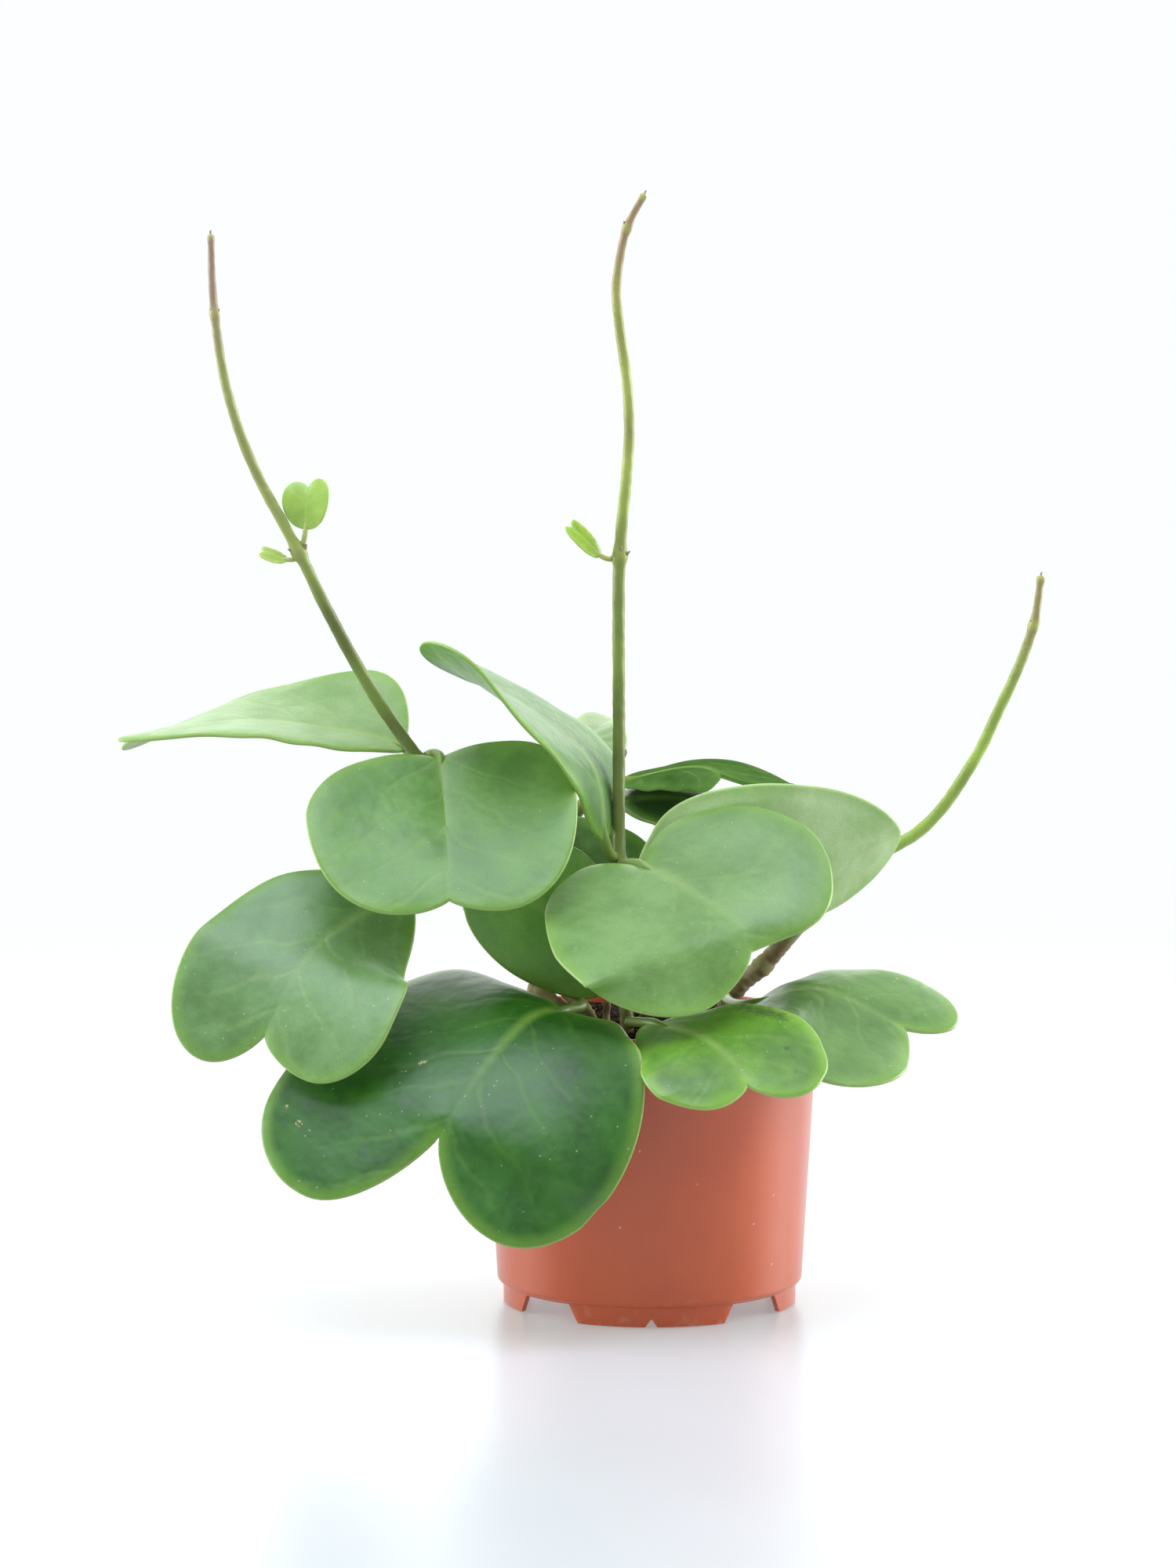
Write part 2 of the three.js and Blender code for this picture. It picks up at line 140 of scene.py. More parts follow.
def clearSelection():
    if bpy.context.object and bpy.context.object.mode != "OBJECT":
        bpy.ops.object.mode_set(mode="OBJECT")
    bpy.ops.object.select_all(action="DESELECT")


def activate(piece):
    # only this piece is selected
    clearSelection()
    piece.select_set(True)
    bpy.context.view_layer.objects.active = piece
    return piece


def applyModifiers(piece):
    activate(piece)
    for modifier in list(piece.modifiers):
        bpy.ops.object.modifier_apply(modifier=modifier.name)


def settle(piece):
    # the object goes to the origin, unturned and unscaled, with its place in its mesh
    activate(piece)
    bpy.ops.object.transform_apply(location=True, rotation=True, scale=True)
    return piece


def turnFacesOut(piece):
    activate(piece)
    bpy.ops.object.mode_set(mode="EDIT")
    bpy.ops.mesh.select_all(action="SELECT")
    bpy.ops.mesh.normals_make_consistent(inside=False)
    bpy.ops.object.mode_set(mode="OBJECT")


def duplicate(piece):
    twin = piece.copy()
    twin.data = piece.data.copy()
    bpy.context.collection.objects.link(twin)
    return twin


def joinAll(pieces, name):
    clearSelection()
    for piece in pieces:
        piece.select_set(True)
    bpy.context.view_layer.objects.active = pieces[0]
    if len(pieces) > 1:
        bpy.ops.object.join()
    pieces[0].name = name
    pieces[0].data.name = name
    return pieces[0]


def getPoints(mesh):
    values = np.zeros(len(mesh.vertices) * 3, np.float32)
    mesh.vertices.foreach_get("co", values)
    return values.reshape(-1, 3).astype(float)


def setPoints(mesh, points):
    mesh.vertices.foreach_set("co", np.asarray(points, np.float32).ravel())
    mesh.update()


def toFrame(points):
    # millimetres about the pot's axis to metres in the frame
    return (np.asarray(points, float) + potCentre) / 1000


def paint(mesh, name, x, y, z):
    # three values for each vertex, each given as one number or as a list
    values = np.stack([np.broadcast_to(v, len(mesh.vertices)) for v in (x, y, z)], -1)
    attribute = mesh.attributes.get(name) or mesh.attributes.new(name, "FLOAT_VECTOR", "POINT")
    attribute.data.foreach_set("vector", np.asarray(values, np.float32).ravel())


def finishPiece(piece, material, slotName, *nodes):
    # its material, body and the CAD nodes that it stands in for; the slot name is not used
    piece.data.materials.clear()
    piece.data.materials.append(material)
    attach(piece, "root")
    if nodes:
        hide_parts(*nodes)


def unit(values):
    values = np.asarray(values, float)
    return values / np.linalg.norm(values, axis=-1, keepdims=True)


def lengthsAlong(line):
    return np.concatenate([[0], np.cumsum(np.linalg.norm(np.diff(line, axis=0), axis=1))])


def smoothLine(points, fine=60):
    # a smooth line through the points, its ends run on straight
    points = [np.array(p, float) for p in points]
    points = [2 * points[0] - points[1]] + points + [2 * points[-1] - points[-2]]
    t = np.linspace(0, 1, fine, endpoint=False)[:, None]
    dense = []
    for k in range(1, len(points) - 2):
        before, start, end, after = points[k - 1:k + 3]
        spans = [np.dot(b - a, b - a) ** 0.25 for a, b in ((before, start), (start, end), (end, after))]
        step = (end - start) / spans[1]
        leave = (start - before) / spans[0] - (end - before) / (spans[0] + spans[1]) + step
        arrive = step - (after - start) / (spans[1] + spans[2]) + (after - end) / spans[2]
        leave, arrive = leave * spans[1], arrive * spans[1]
        dense.append(start + leave * t + (3 * end - 3 * start - 2 * leave - arrive) * t ** 2
                     + (2 * start - 2 * end + leave + arrive) * t ** 3)
    dense.append(points[-2][None])
    return np.vstack(dense)


def alongLine(dense, distance):
    # places and directions at these distances along a dense line, and its whole length
    reach = lengthsAlong(dense)
    inside = np.clip(distance, 0, reach[-1])
    slope = np.gradient(dense, reach, axis=0)
    place = np.stack([np.interp(inside, reach, dense[:, k]) for k in range(3)], -1)
    direction = unit(np.stack([np.interp(inside, reach, slope[:, k]) for k in range(3)], -1))
    return place + direction * (distance - inside)[..., None], direction, reach[-1]


def ballGrid(segments, rings):
    # a ball whose vertices are known by column and level, to be pressed into leaves and stems
    clearSelection()
    bpy.ops.mesh.primitive_uv_sphere_add(segments=segments, ring_count=rings, radius=1, location=(0, 0, 0))
    piece = bpy.context.object
    ball = getPoints(piece.data)
    column = np.rint(np.arctan2(ball[:, 1], ball[:, 0]) / (2 * np.pi) * segments).astype(int) % segments
    level = np.rint(np.arccos(np.clip(ball[:, 2], -1, 1)) / np.pi * rings).astype(int)
    return piece, column, level


# the camera stands where the photo was taken, a little above the leaves and looking slightly down
cameraSpec = {"place": (0.0017, -1.6884, 0.348), "pitchDown": 5.55, "lens": 110.47}

bpy.ops.object.camera_add(location=cameraSpec["place"],
                          rotation=(math.radians(90 - cameraSpec["pitchDown"]), 0, 0))
camera = bpy.context.object
camera.name = "photoCamera"
camera.data.sensor_fit = "VERTICAL"
camera.data.sensor_height = 36
camera.data.lens = cameraSpec["lens"]
camera.data.clip_start = 0.05
bpy.context.scene.camera = camera
bpy.context.scene.view_settings.view_transform = "Standard"
bpy.context.scene.view_settings.look = "None"

studio = {
    "sky": "#fcfeff", "frontGlow": 0.5, "backGlow": 1.25,
    "lights": [
        # name, place, aim, width, depth, watts, colour
        ["overheadSoftbox", (-0.2, -0.5, 1.8), (0.0, -0.1, 0.15), 1.5, 1.4, 27, "#e4ebff"],
        ["leftSoftbox", (-1.65, 0.2, 0.5), (0.0, 0.0, 0.12), 1.0, 1.2, 19, "#ffffff"],
        ["rightSoftbox", (1.65, 0.4, 0.5), (0.0, 0.0, 0.12), 1.0, 1.2, 25, "#ffffff"],
        ["backSoftbox", (0.2, 1.7, 0.9), (0.0, 0.0, 0.15), 1.6, 1.0, 6, "#ffffff"],
    ],
    "floorRadius": 1.6, "floorHeight": -0.0004, "floorFadeFrom": 0.42, "floorFadeTo": 1.25,
}

world = bpy.data.worlds.new("whiteStudio")
bpy.context.scene.world = world
world.use_nodes = True
world.node_tree.nodes.clear()
# the white cloth behind the plant is lit hard; the room behind the camera gives little light
heading = addNode(world.node_tree, "TexCoord")
headingPart = addNode(world.node_tree, "SeparateXYZ", {0: (heading, "Generated")})
glow = remap(world.node_tree, (headingPart, "Y"), (-0.75, 0.9),
             (studio["frontGlow"], studio["backGlow"]), smooth=True)
cloth = addNode(world.node_tree, "Background", {"Color": studio["sky"], "Strength": glow})
backdrop = addNode(world.node_tree, "Background", {"Color": studio["sky"], "Strength": 1.0})
ray = addNode(world.node_tree, "LightPath")
sky = addNode(world.node_tree, "MixShader", {0: (ray, "Is Camera Ray"), 1: cloth, 2: backdrop})
addNode(world.node_tree, "OutputWorld", {"Surface": sky})

for name, place, aim, width, depth, watts, shade in studio["lights"]:
    bpy.ops.object.light_add(type="AREA", location=place)
    light = bpy.context.object
    light.name = name
    light.rotation_euler = (Vector(aim) - Vector(place)).to_track_quat("-Z", "Y").to_euler()
    light.data.shape = "RECTANGLE"
    light.data.size = width
    light.data.size_y = depth
    light.data.energy = watts
    light.data.color = linear(shade)[:3]


def glossyTableMaterial():
    # white acrylic table top, polished and glowing of itself, a glow that is painted light to keep its
    # shadows light: a pale blurred reflection and light shadows, fading into the white backdrop
    material, tree = newMaterial("polishedWhiteAcrylic")
    where = addNode(tree, "TexCoord"), "Object"
    grain = noise(tree, where, 6.0, 3.0)
    tone = ramp(tree, grain, (0.3, "#9fa4a7"), (0.7, "#a3a8ab"))
    gloss = remap(tree, grain, (0.0, 1.0), (0.26, 0.34))
    # the emission is painted light: the table top glows of itself so that the shadows on it stay light
    top = addNode(tree, "BsdfPrincipled", {
        "IOR": 1.4, "Emission Color": studio["sky"], "Emission Strength": 0.28, "Base Color": tone,
        "Roughness": gloss,
    })
    reach = addNode(tree, "VectorMath", {"operation": "LENGTH", 0: where})
    fade = remap(tree, (reach, "Value"), (studio["floorFadeFrom"], studio["floorFadeTo"]), smooth=True)
    mix = addNode(tree, "MixShader", {0: fade, 1: top, 2: addNode(tree, "BsdfTransparent")})
    addNode(tree, "OutputMaterial", {"Surface": mix})
    return material


clearSelection()
bpy.ops.mesh.primitive_circle_add(vertices=96, radius=studio["floorRadius"], fill_type="NGON",
                                  location=(0, 0, studio["floorHeight"]))
floor = settle(bpy.context.object)
floor.name = "studioFloor"
floor.data.materials.append(glossyTableMaterial())
print("scene: camera, floor and lights")


potSpec = {
    "height": 101.5, "rimRadius": 60.3, "mouthRadius": 59.2, "wallFootRadius": 54.2, "wall": 1.6,
    "footHeight": 7.0, "footRadius": 52.0, "footBand": 2.0, "floorThickness": 2.0,
    "archHalfTop": 10.5, "archHalfFoot": 14.0, "notchHeight": 2.6, "notchHalf": 2.8,
    "drainRadius": 4.0, "drainCircle": 34.0, "turns": 144, "edgeRound": 0.35,
    "footRound": 1.8, "cutFrom": 40, "cutTo": 66,
    "plastic": "#c6501a", "plasticDeep": "#ba4716", "plasticPale": "#d05c22", "dust": "#d8baa4",
}


def terracottaPlastic(spec):
    # terracotta-coloured polypropylene, injection moulded: satin, fine spark-eroded grain, faint
    # vertical flow, a few dust specks and a little scuffing round the foot
    material, tree = newMaterial("mouldedTerracottaPolypropylene")
    where = addNode(tree, "TexCoord"), "Object"
    drift = noise(tree, where, 14.0, 4.0, 0.55)
    body = ramp(tree, drift, (0.28, spec["plasticDeep"]), (0.5, spec["plastic"]), (0.78, spec["plasticPale"]))
    stretch = addNode(tree, "Mapping", {"Scale": (90.0, 90.0, 6.0), "Vector": where})
    flowTone = remap(tree, noise(tree, stretch, 1.0, 2.0), (0.0, 1.0), (0.93, 1.06))
    streaked = addNode(tree, "VectorMath", {"operation": "SCALE", 0: body, "Scale": flowTone})
    # dust specks about 0.5 mm across
    speck = addNode(tree, "TexVoronoi", {"Scale": 150.0, "Vector": where})
    speckSize = remap(tree, (speck, "Distance"), (0.05, 0.09), (1.0, 0.0))
    rare = addNode(tree, "SeparateColor", {0: (speck, "Color")})
    specks = scalar(tree, "MULTIPLY", speckSize, scalar(tree, "GREATER_THAN", (rare, 0), 0.86))
    # pale scuffing on the lowest 12 mm
    low = remap(tree, (addNode(tree, "SeparateXYZ", {0: where}), "Z"), (0.012, 0.002))
    scuff = remap(tree, noise(tree, where, 260.0, 5.0), (0.56, 0.72))
    scuffedSoft = scalar(tree, "MULTIPLY", scalar(tree, "MULTIPLY", scuff, low), 0.35)
    wornSoft = scalar(tree, "MULTIPLY", scalar(tree, "MAXIMUM", specks, scuffedSoft), 0.6)
    colour = mixTones(tree, wornSoft, streaked, spec["dust"])
    # grain of the mould, 0.5 mm, drawn twice as coarse as it is so that it shows
    grain = noise(tree, where, 900.0, 2.0)
    relief = addNode(tree, "Bump", {"Strength": 0.10, "Distance": 0.0004, "Height": grain})
    gloss = remap(tree, drift, (0.0, 1.0), (0.36, 0.48))
    return withSkin(material, {
        "IOR": 1.5, "Coat Weight": 0.7, "Coat Roughness": 0.3, "Sheen Weight": 0.14,
        "Sheen Roughness": 0.4, "Subsurface Weight": 0.02,
        "Subsurface Radius": (0.002, 0.0008, 0.0005), "Subsurface Scale": 1.0, "Base Color": colour,
        "Roughness": gloss, "Normal": relief,
    })


def potProfile(spec):
    # [radius, height] from the middle of the underside over the rim to the middle of the floor
    ring, foot, wall = spec["footRadius"], spec["footHeight"], spec["wallFootRadius"]
    mouth, rim, lip = spec["mouthRadius"], spec["rimRadius"], spec["height"]
    inner, floorTop = ring - spec["footBand"], foot + spec["floorThickness"]
    outside = [[0, foot], [inner, foot], [inner, 0], [ring, 0], [ring, foot - 0.5], [ring + 0.5, foot]]
    # the lower edge of the wall turns in on a round
    bend = spec["footRound"]
    for angle in range(-80, 1, 16):
        a = math.radians(angle)
        outside.append([wall + bend * (math.cos(a) - 1), foot + 0.1 + bend * (1 + math.sin(a))])
    outside += [[mouth, lip - 7], [rim, lip - 6.4], [rim, lip]]
    mouth, wall = mouth - spec["wall"], wall - spec["wall"]
    inside = [[mouth, lip], [mouth - 0.4, lip - 7], [wall, floorTop + 2], [wall - 1.6, floorTop + 0.4],
              [wall - 3, floorTop], [0, floorTop]]
    return outside + inside


def wedge(spec, turn, topHalf, footHalf, tall):
    # a block, narrower above, that reaches out through the foot ring at this turn
    bpy.ops.mesh.primitive_cube_add(size=1, location=(0, 0, 0))
    block = bpy.context.object
    points = getPoints(block.data)
    high = points[:, 2] > 0
    x = np.sign(points[:, 0]) * np.where(high, topHalf, footHalf)
    y = np.where(points[:, 1] > 0, spec["cutTo"], spec["cutFrom"])
    points = [x * math.cos(turn) - y * math.sin(turn), x * math.sin(turn) + y * math.cos(turn),
              np.where(high, tall, -1)]
    setPoints(block.data, np.stack(points, -1) / 1000)
    return block


def buildPot(spec):
    profile = potProfile(spec)
    # one corner of a plane is drawn out along the profile, then spun round the axis
    clearSelection()
    bpy.ops.mesh.primitive_plane_add(size=0.001, location=(0, 0, 0))
    pot = bpy.context.object
    bpy.ops.object.mode_set(mode="EDIT")
    bpy.ops.mesh.merge(type="CENTER")
    start = profile[0]
    bpy.ops.transform.translate(value=(start[0] / 1000, 0, start[1] / 1000))
    for a, b in zip(profile, profile[1:]):
        bpy.ops.mesh.extrude_region_move(
            TRANSFORM_OT_translate={"value": ((b[0] - a[0]) / 1000, 0, (b[1] - a[1]) / 1000)})
    bpy.ops.mesh.select_all(action="SELECT")
    bpy.ops.mesh.spin(steps=spec["turns"], angle=2 * math.pi, center=(0, 0, 0), axis=(0, 0, 1))
    bpy.ops.mesh.select_all(action="SELECT")
    bpy.ops.mesh.remove_doubles(threshold=0.00002)
    turnFacesOut(pot)

    cutters = []
    for k in range(4):
        foot, corner = math.radians(90 * k), math.radians(90 * k + 45)
        # trapezium arch between two feet, V notch in the middle of a foot, drain hole in the floor
        cutters.append(wedge(spec, corner, spec["archHalfTop"], spec["archHalfFoot"] + 0.6,
                             spec["footHeight"] - 0.6))
        cutters.append(wedge(spec, foot, 0.25, spec["notchHalf"], spec["notchHeight"]))
        bpy.ops.mesh.primitive_cylinder_add(
            vertices=32, radius=spec["drainRadius"] / 1000, depth=0.008,
            location=np.array([spec["drainCircle"] * math.cos(corner), spec["drainCircle"] * math.sin(corner),
                               spec["footHeight"] + spec["floorThickness"] / 2]) / 1000)
        cutters.append(settle(bpy.context.object))
    cutter = joinAll(cutters, "potCutter")
    activate(pot)
    cut = pot.modifiers.new("feet", "BOOLEAN")
    cut.operation = "DIFFERENCE"
    cut.solver = "EXACT"
    cut.object = cutter
    applyModifiers(pot)
    bpy.data.objects.remove(cutter)
    rounding = pot.modifiers.new("rounding", "BEVEL")
    rounding.width = spec["edgeRound"] / 1000
    rounding.segments = 2
    rounding.limit_method = "ANGLE"
    rounding.angle_limit = math.radians(32)
    applyModifiers(pot)
    setPoints(pot.data, getPoints(pot.data) + potCentre / 1000)
    activate(pot)
    bpy.ops.object.shade_smooth_by_angle(angle=math.radians(30))
    pot.name = "nurseryPot"
    return pot


nurseryPot = buildPot(potSpec)
finishPiece(nurseryPot, terracottaPlastic(potSpec), "pot_plastic", "pot")
print("scene: pot", len(nurseryPot.data.polygons), "faces")


compostSpec = {
    "edge": 96.5, "mound": 4.5, "radius": 56.4, "floor": 9.3, "footRadius": 49.0, "grid": 110,
    "chips": 330, "chipSize": (2.2, 6.5), "fibres": 90, "fibreLength": (8, 26), "seed": 11,
    "collar": 20, "chipShape": [1.0, 0.62, 0.32], "chipKinds": 3, "chipShove": 0.13, "chipRound": 0.16,
    "chipTilt": 0.6, "chipInset": 4.5, "fibreSides": 5, "fibreRings": 9, "fibreInset": 8, "fibreBow": 0.9,
    "fibreRise": (0.6, 3.2), "fibreThin": 0.16, "fibreThick": 0.3,
    "peat": ("#140d0a", "#2c1e17", "#4c3527"), "bark": ("#24160f", "#4d3324", "#7a5a41"),
    "fibre": ("#4d3324", "#8b4f33", "#b98360"),
}


def crumblyMaterial(name, tones, scale):
    # bark-and-coir compost: damp, dark, no gloss, broken into crumbs of one to four millimetres
    material, tree = newMaterial(name)
    where = addNode(tree, "TexCoord"), "Object"
    lump = noise(tree, where, scale, 8.0, 0.68)
    crumb = addNode(tree, "TexVoronoi", {"Scale": scale * 1.9, "Vector": where})
    shade = ramp(tree, lump, *zip((0.3, 0.52, 0.8), tones))
    # painted shade: the crumbs darken towards their edges, in the hollows between them
    edge = remap(tree, (crumb, "Distance"), (0.0, 0.7), (1.1, 0.55))
    colour = addNode(tree, "VectorMath", {"operation": "SCALE", 0: shade, "Scale": edge})
    relief = scalar(tree, "SUBTRACT", lump, (crumb, "Distance"))
    bump = addNode(tree, "Bump", {"Strength": 0.9, "Distance": 0.0012, "Height": relief})
    return withSkin(material, {
        "Roughness": 0.9, "IOR": 1.4, "Specular IOR Level": 0.25, "Base Color": colour, "Normal": bump,
    })


def compostHeight(spec, x, y):
    # the top of the compost: a low mound, broken by lumps
    r = np.hypot(x, y)
    t = np.clip(r / spec["radius"], 0, 1)
    mound = spec["edge"] + spec["mound"] * (1 - t ** 2) ** 0.8 + 0.9 * np.sin(x * 0.21 + 1) * np.cos(y * 0.17)
    lumps = (np.sin(x * 0.9 + 1.3 * np.sin(y * 0.7)) * np.sin(y * 0.8 + 1.1 * np.sin(x * 0.6))
             + 0.6 * np.sin(x * 1.9 + 2.0 * np.sin(y * 1.3)) * np.sin(y * 2.1 + 1.7 * np.sin(x * 1.6)))
    return mound + 0.5 * lumps - 0.4


def buildCompost(spec):
    clearSelection()
    n = spec["grid"]
    bpy.ops.mesh.primitive_grid_add(x_subdivisions=n, y_subdivisions=n, size=2, location=(0, 0, 0))
    soil = bpy.context.object
    points = getPoints(soil.data)
    # the square grid is pressed into a round one
    u, v = points[:, 0].copy(), points[:, 1].copy()
    x = u * np.sqrt(np.clip(1 - v * v / 2, 0, 1)) * spec["radius"]
    y = v * np.sqrt(np.clip(1 - u * u / 2, 0, 1)) * spec["radius"]
    points[:, 0], points[:, 1], points[:, 2] = x, y, compostHeight(spec, x, y)
    setPoints(soil.data, points / 1000)
    # its border is drawn down to the pot's floor and closed
    activate(soil)
    bpy.ops.object.mode_set(mode="EDIT")
    bpy.ops.mesh.select_all(action="SELECT")
    bpy.ops.mesh.region_to_loop()
    for drop in (spec["collar"], spec["edge"] - spec["floor"] - spec["collar"]):
        bpy.ops.mesh.extrude_region_move(TRANSFORM_OT_translate={"value": (0, 0, -drop / 1000)})
    bpy.ops.transform.resize(value=(spec["footRadius"] / spec["radius"],) * 2 + (0.0,),
                             center_override=(0, 0, spec["floor"] / 1000))
    bpy.ops.mesh.edge_face_add()
    turnFacesOut(soil)
    setPoints(soil.data, getPoints(soil.data) + potCentre / 1000)
    bpy.ops.object.shade_smooth_by_angle(angle=math.radians(50))
    soil.name = "barkCompost"
    return soil


def buildChips(spec):
    # bark chips of a few kinds are broken from cubes, then strewn over the compost
    dice = random.Random(spec["seed"])
    models = []
    for k in range(spec["chipKinds"]):
        clearSelection()
        bpy.ops.mesh.primitive_cube_add(size=1, location=(0, 0, 0))
        chip = bpy.context.object
        bpy.ops.object.mode_set(mode="EDIT")
        bpy.ops.mesh.subdivide(number_cuts=1)
        bpy.ops.object.mode_set(mode="OBJECT")
        points = getPoints(chip.data)
        far = spec["chipShove"]
        shove = np.array([[dice.uniform(-far, far) for _ in range(3)] for _ in points])
        points = points * (1 - spec["chipRound"] * np.linalg.norm(points, axis=1, keepdims=True)) + shove
        setPoints(chip.data, points * (np.array(spec["chipShape"]) + [0, 0, 0.1 * k]))
        models.append(chip)
    chips, tilt = [], spec["chipTilt"]
    for k in range(spec["chips"]):
        chip = duplicate(models[k % len(models)])
        size = dice.uniform(*spec["chipSize"]) * (0.6 if dice.random() < 0.5 else 1)
        turn = dice.uniform(0, 2 * math.pi)
        reach = (spec["radius"] - spec["chipInset"]) * math.sqrt(dice.random())
        x, y = reach * math.cos(turn), reach * math.sin(turn)
        points = getPoints(chip.data) * size
        lean = Vector((dice.uniform(-tilt, tilt), dice.uniform(-tilt, tilt), 1)).normalized()
        spin = np.array(Vector((0, 0, 1)).rotation_difference(lean).to_matrix())
        about = dice.uniform(0, 2 * math.pi)
        c, s = math.cos(about), math.sin(about)
        points = points @ np.array([[c, s, 0], [-s, c, 0], [0, 0, 1]]) @ spin.T
        points += [x, y, float(compostHeight(spec, np.array(x), np.array(y))) + 0.1 * size]
        setPoints(chip.data, toFrame(points))
        chips.append(chip)
    for model in models:
        bpy.data.objects.remove(model)
    return joinAll(chips, "barkChips")


def buildFibres(spec):
    # coir fibres and a few old roots, each a hair-thin bent strand
    dice = random.Random(spec["seed"] + 5)
    strands = []
    for k in range(spec["fibres"]):
        strand, column, level = ballGrid(spec["fibreSides"], spec["fibreRings"])
        reach = dice.uniform(*spec["fibreLength"])
        turn = dice.uniform(0, 2 * math.pi)
        away = (spec["radius"] - spec["fibreInset"]) * math.sqrt(dice.random())
        heading = dice.uniform(0, 2 * math.pi)
        bow, rise = dice.uniform(-spec["fibreBow"], spec["fibreBow"]), dice.uniform(*spec["fibreRise"])
        t = level / spec["fibreRings"]
        angle = heading + bow * (t - 0.5)
        x = away * math.cos(turn) + reach * (t - 0.5) * np.cos(angle)
        y = away * math.sin(turn) + reach * (t - 0.5) * np.sin(angle)
        keep = np.minimum(1, (spec["radius"] - 2) / np.maximum(np.hypot(x, y), 1e-6))
        x, y = x * keep, y * keep
        z = compostHeight(spec, x, y) + rise * np.sin(np.pi * t) * (0.4 + 0.6 * t) - 0.3
        around = column / spec["fibreSides"] * 2 * np.pi
        thick = spec["fibreThin" if k % 3 else "fibreThick"] * np.sin(np.pi * np.clip(t, 0.12, 0.88))
        thick = np.where((level == 0) | (level == spec["fibreRings"]), 0, thick)
        wide = thick * np.cos(around)
        points = [x - wide * np.sin(angle), y + wide * np.cos(angle), z + thick * np.sin(around)]
        setPoints(strand.data, toFrame(np.stack(points, -1)))
        strands.append(strand)
    fibres = joinAll(strands, "coirFibres")
    bpy.ops.object.shade_smooth()
    return fibres


# builder, material, its tones, its grain and the node it stands in for
for build, skinName, tones, scale, nodes in (
        (buildCompost, "dampPeatAndBark", "peat", 320.0, ["soil"]),
        (buildChips, "compostedBarkChips", "bark", 420.0, []),
        (buildFibres, "reddishCoirFibre", "fibre", 500.0, [])):
    finishPiece(build(compostSpec), crumblyMaterial(skinName, compostSpec[tones], scale), "compost", *nodes)
print("scene: compost, chips and fibres")


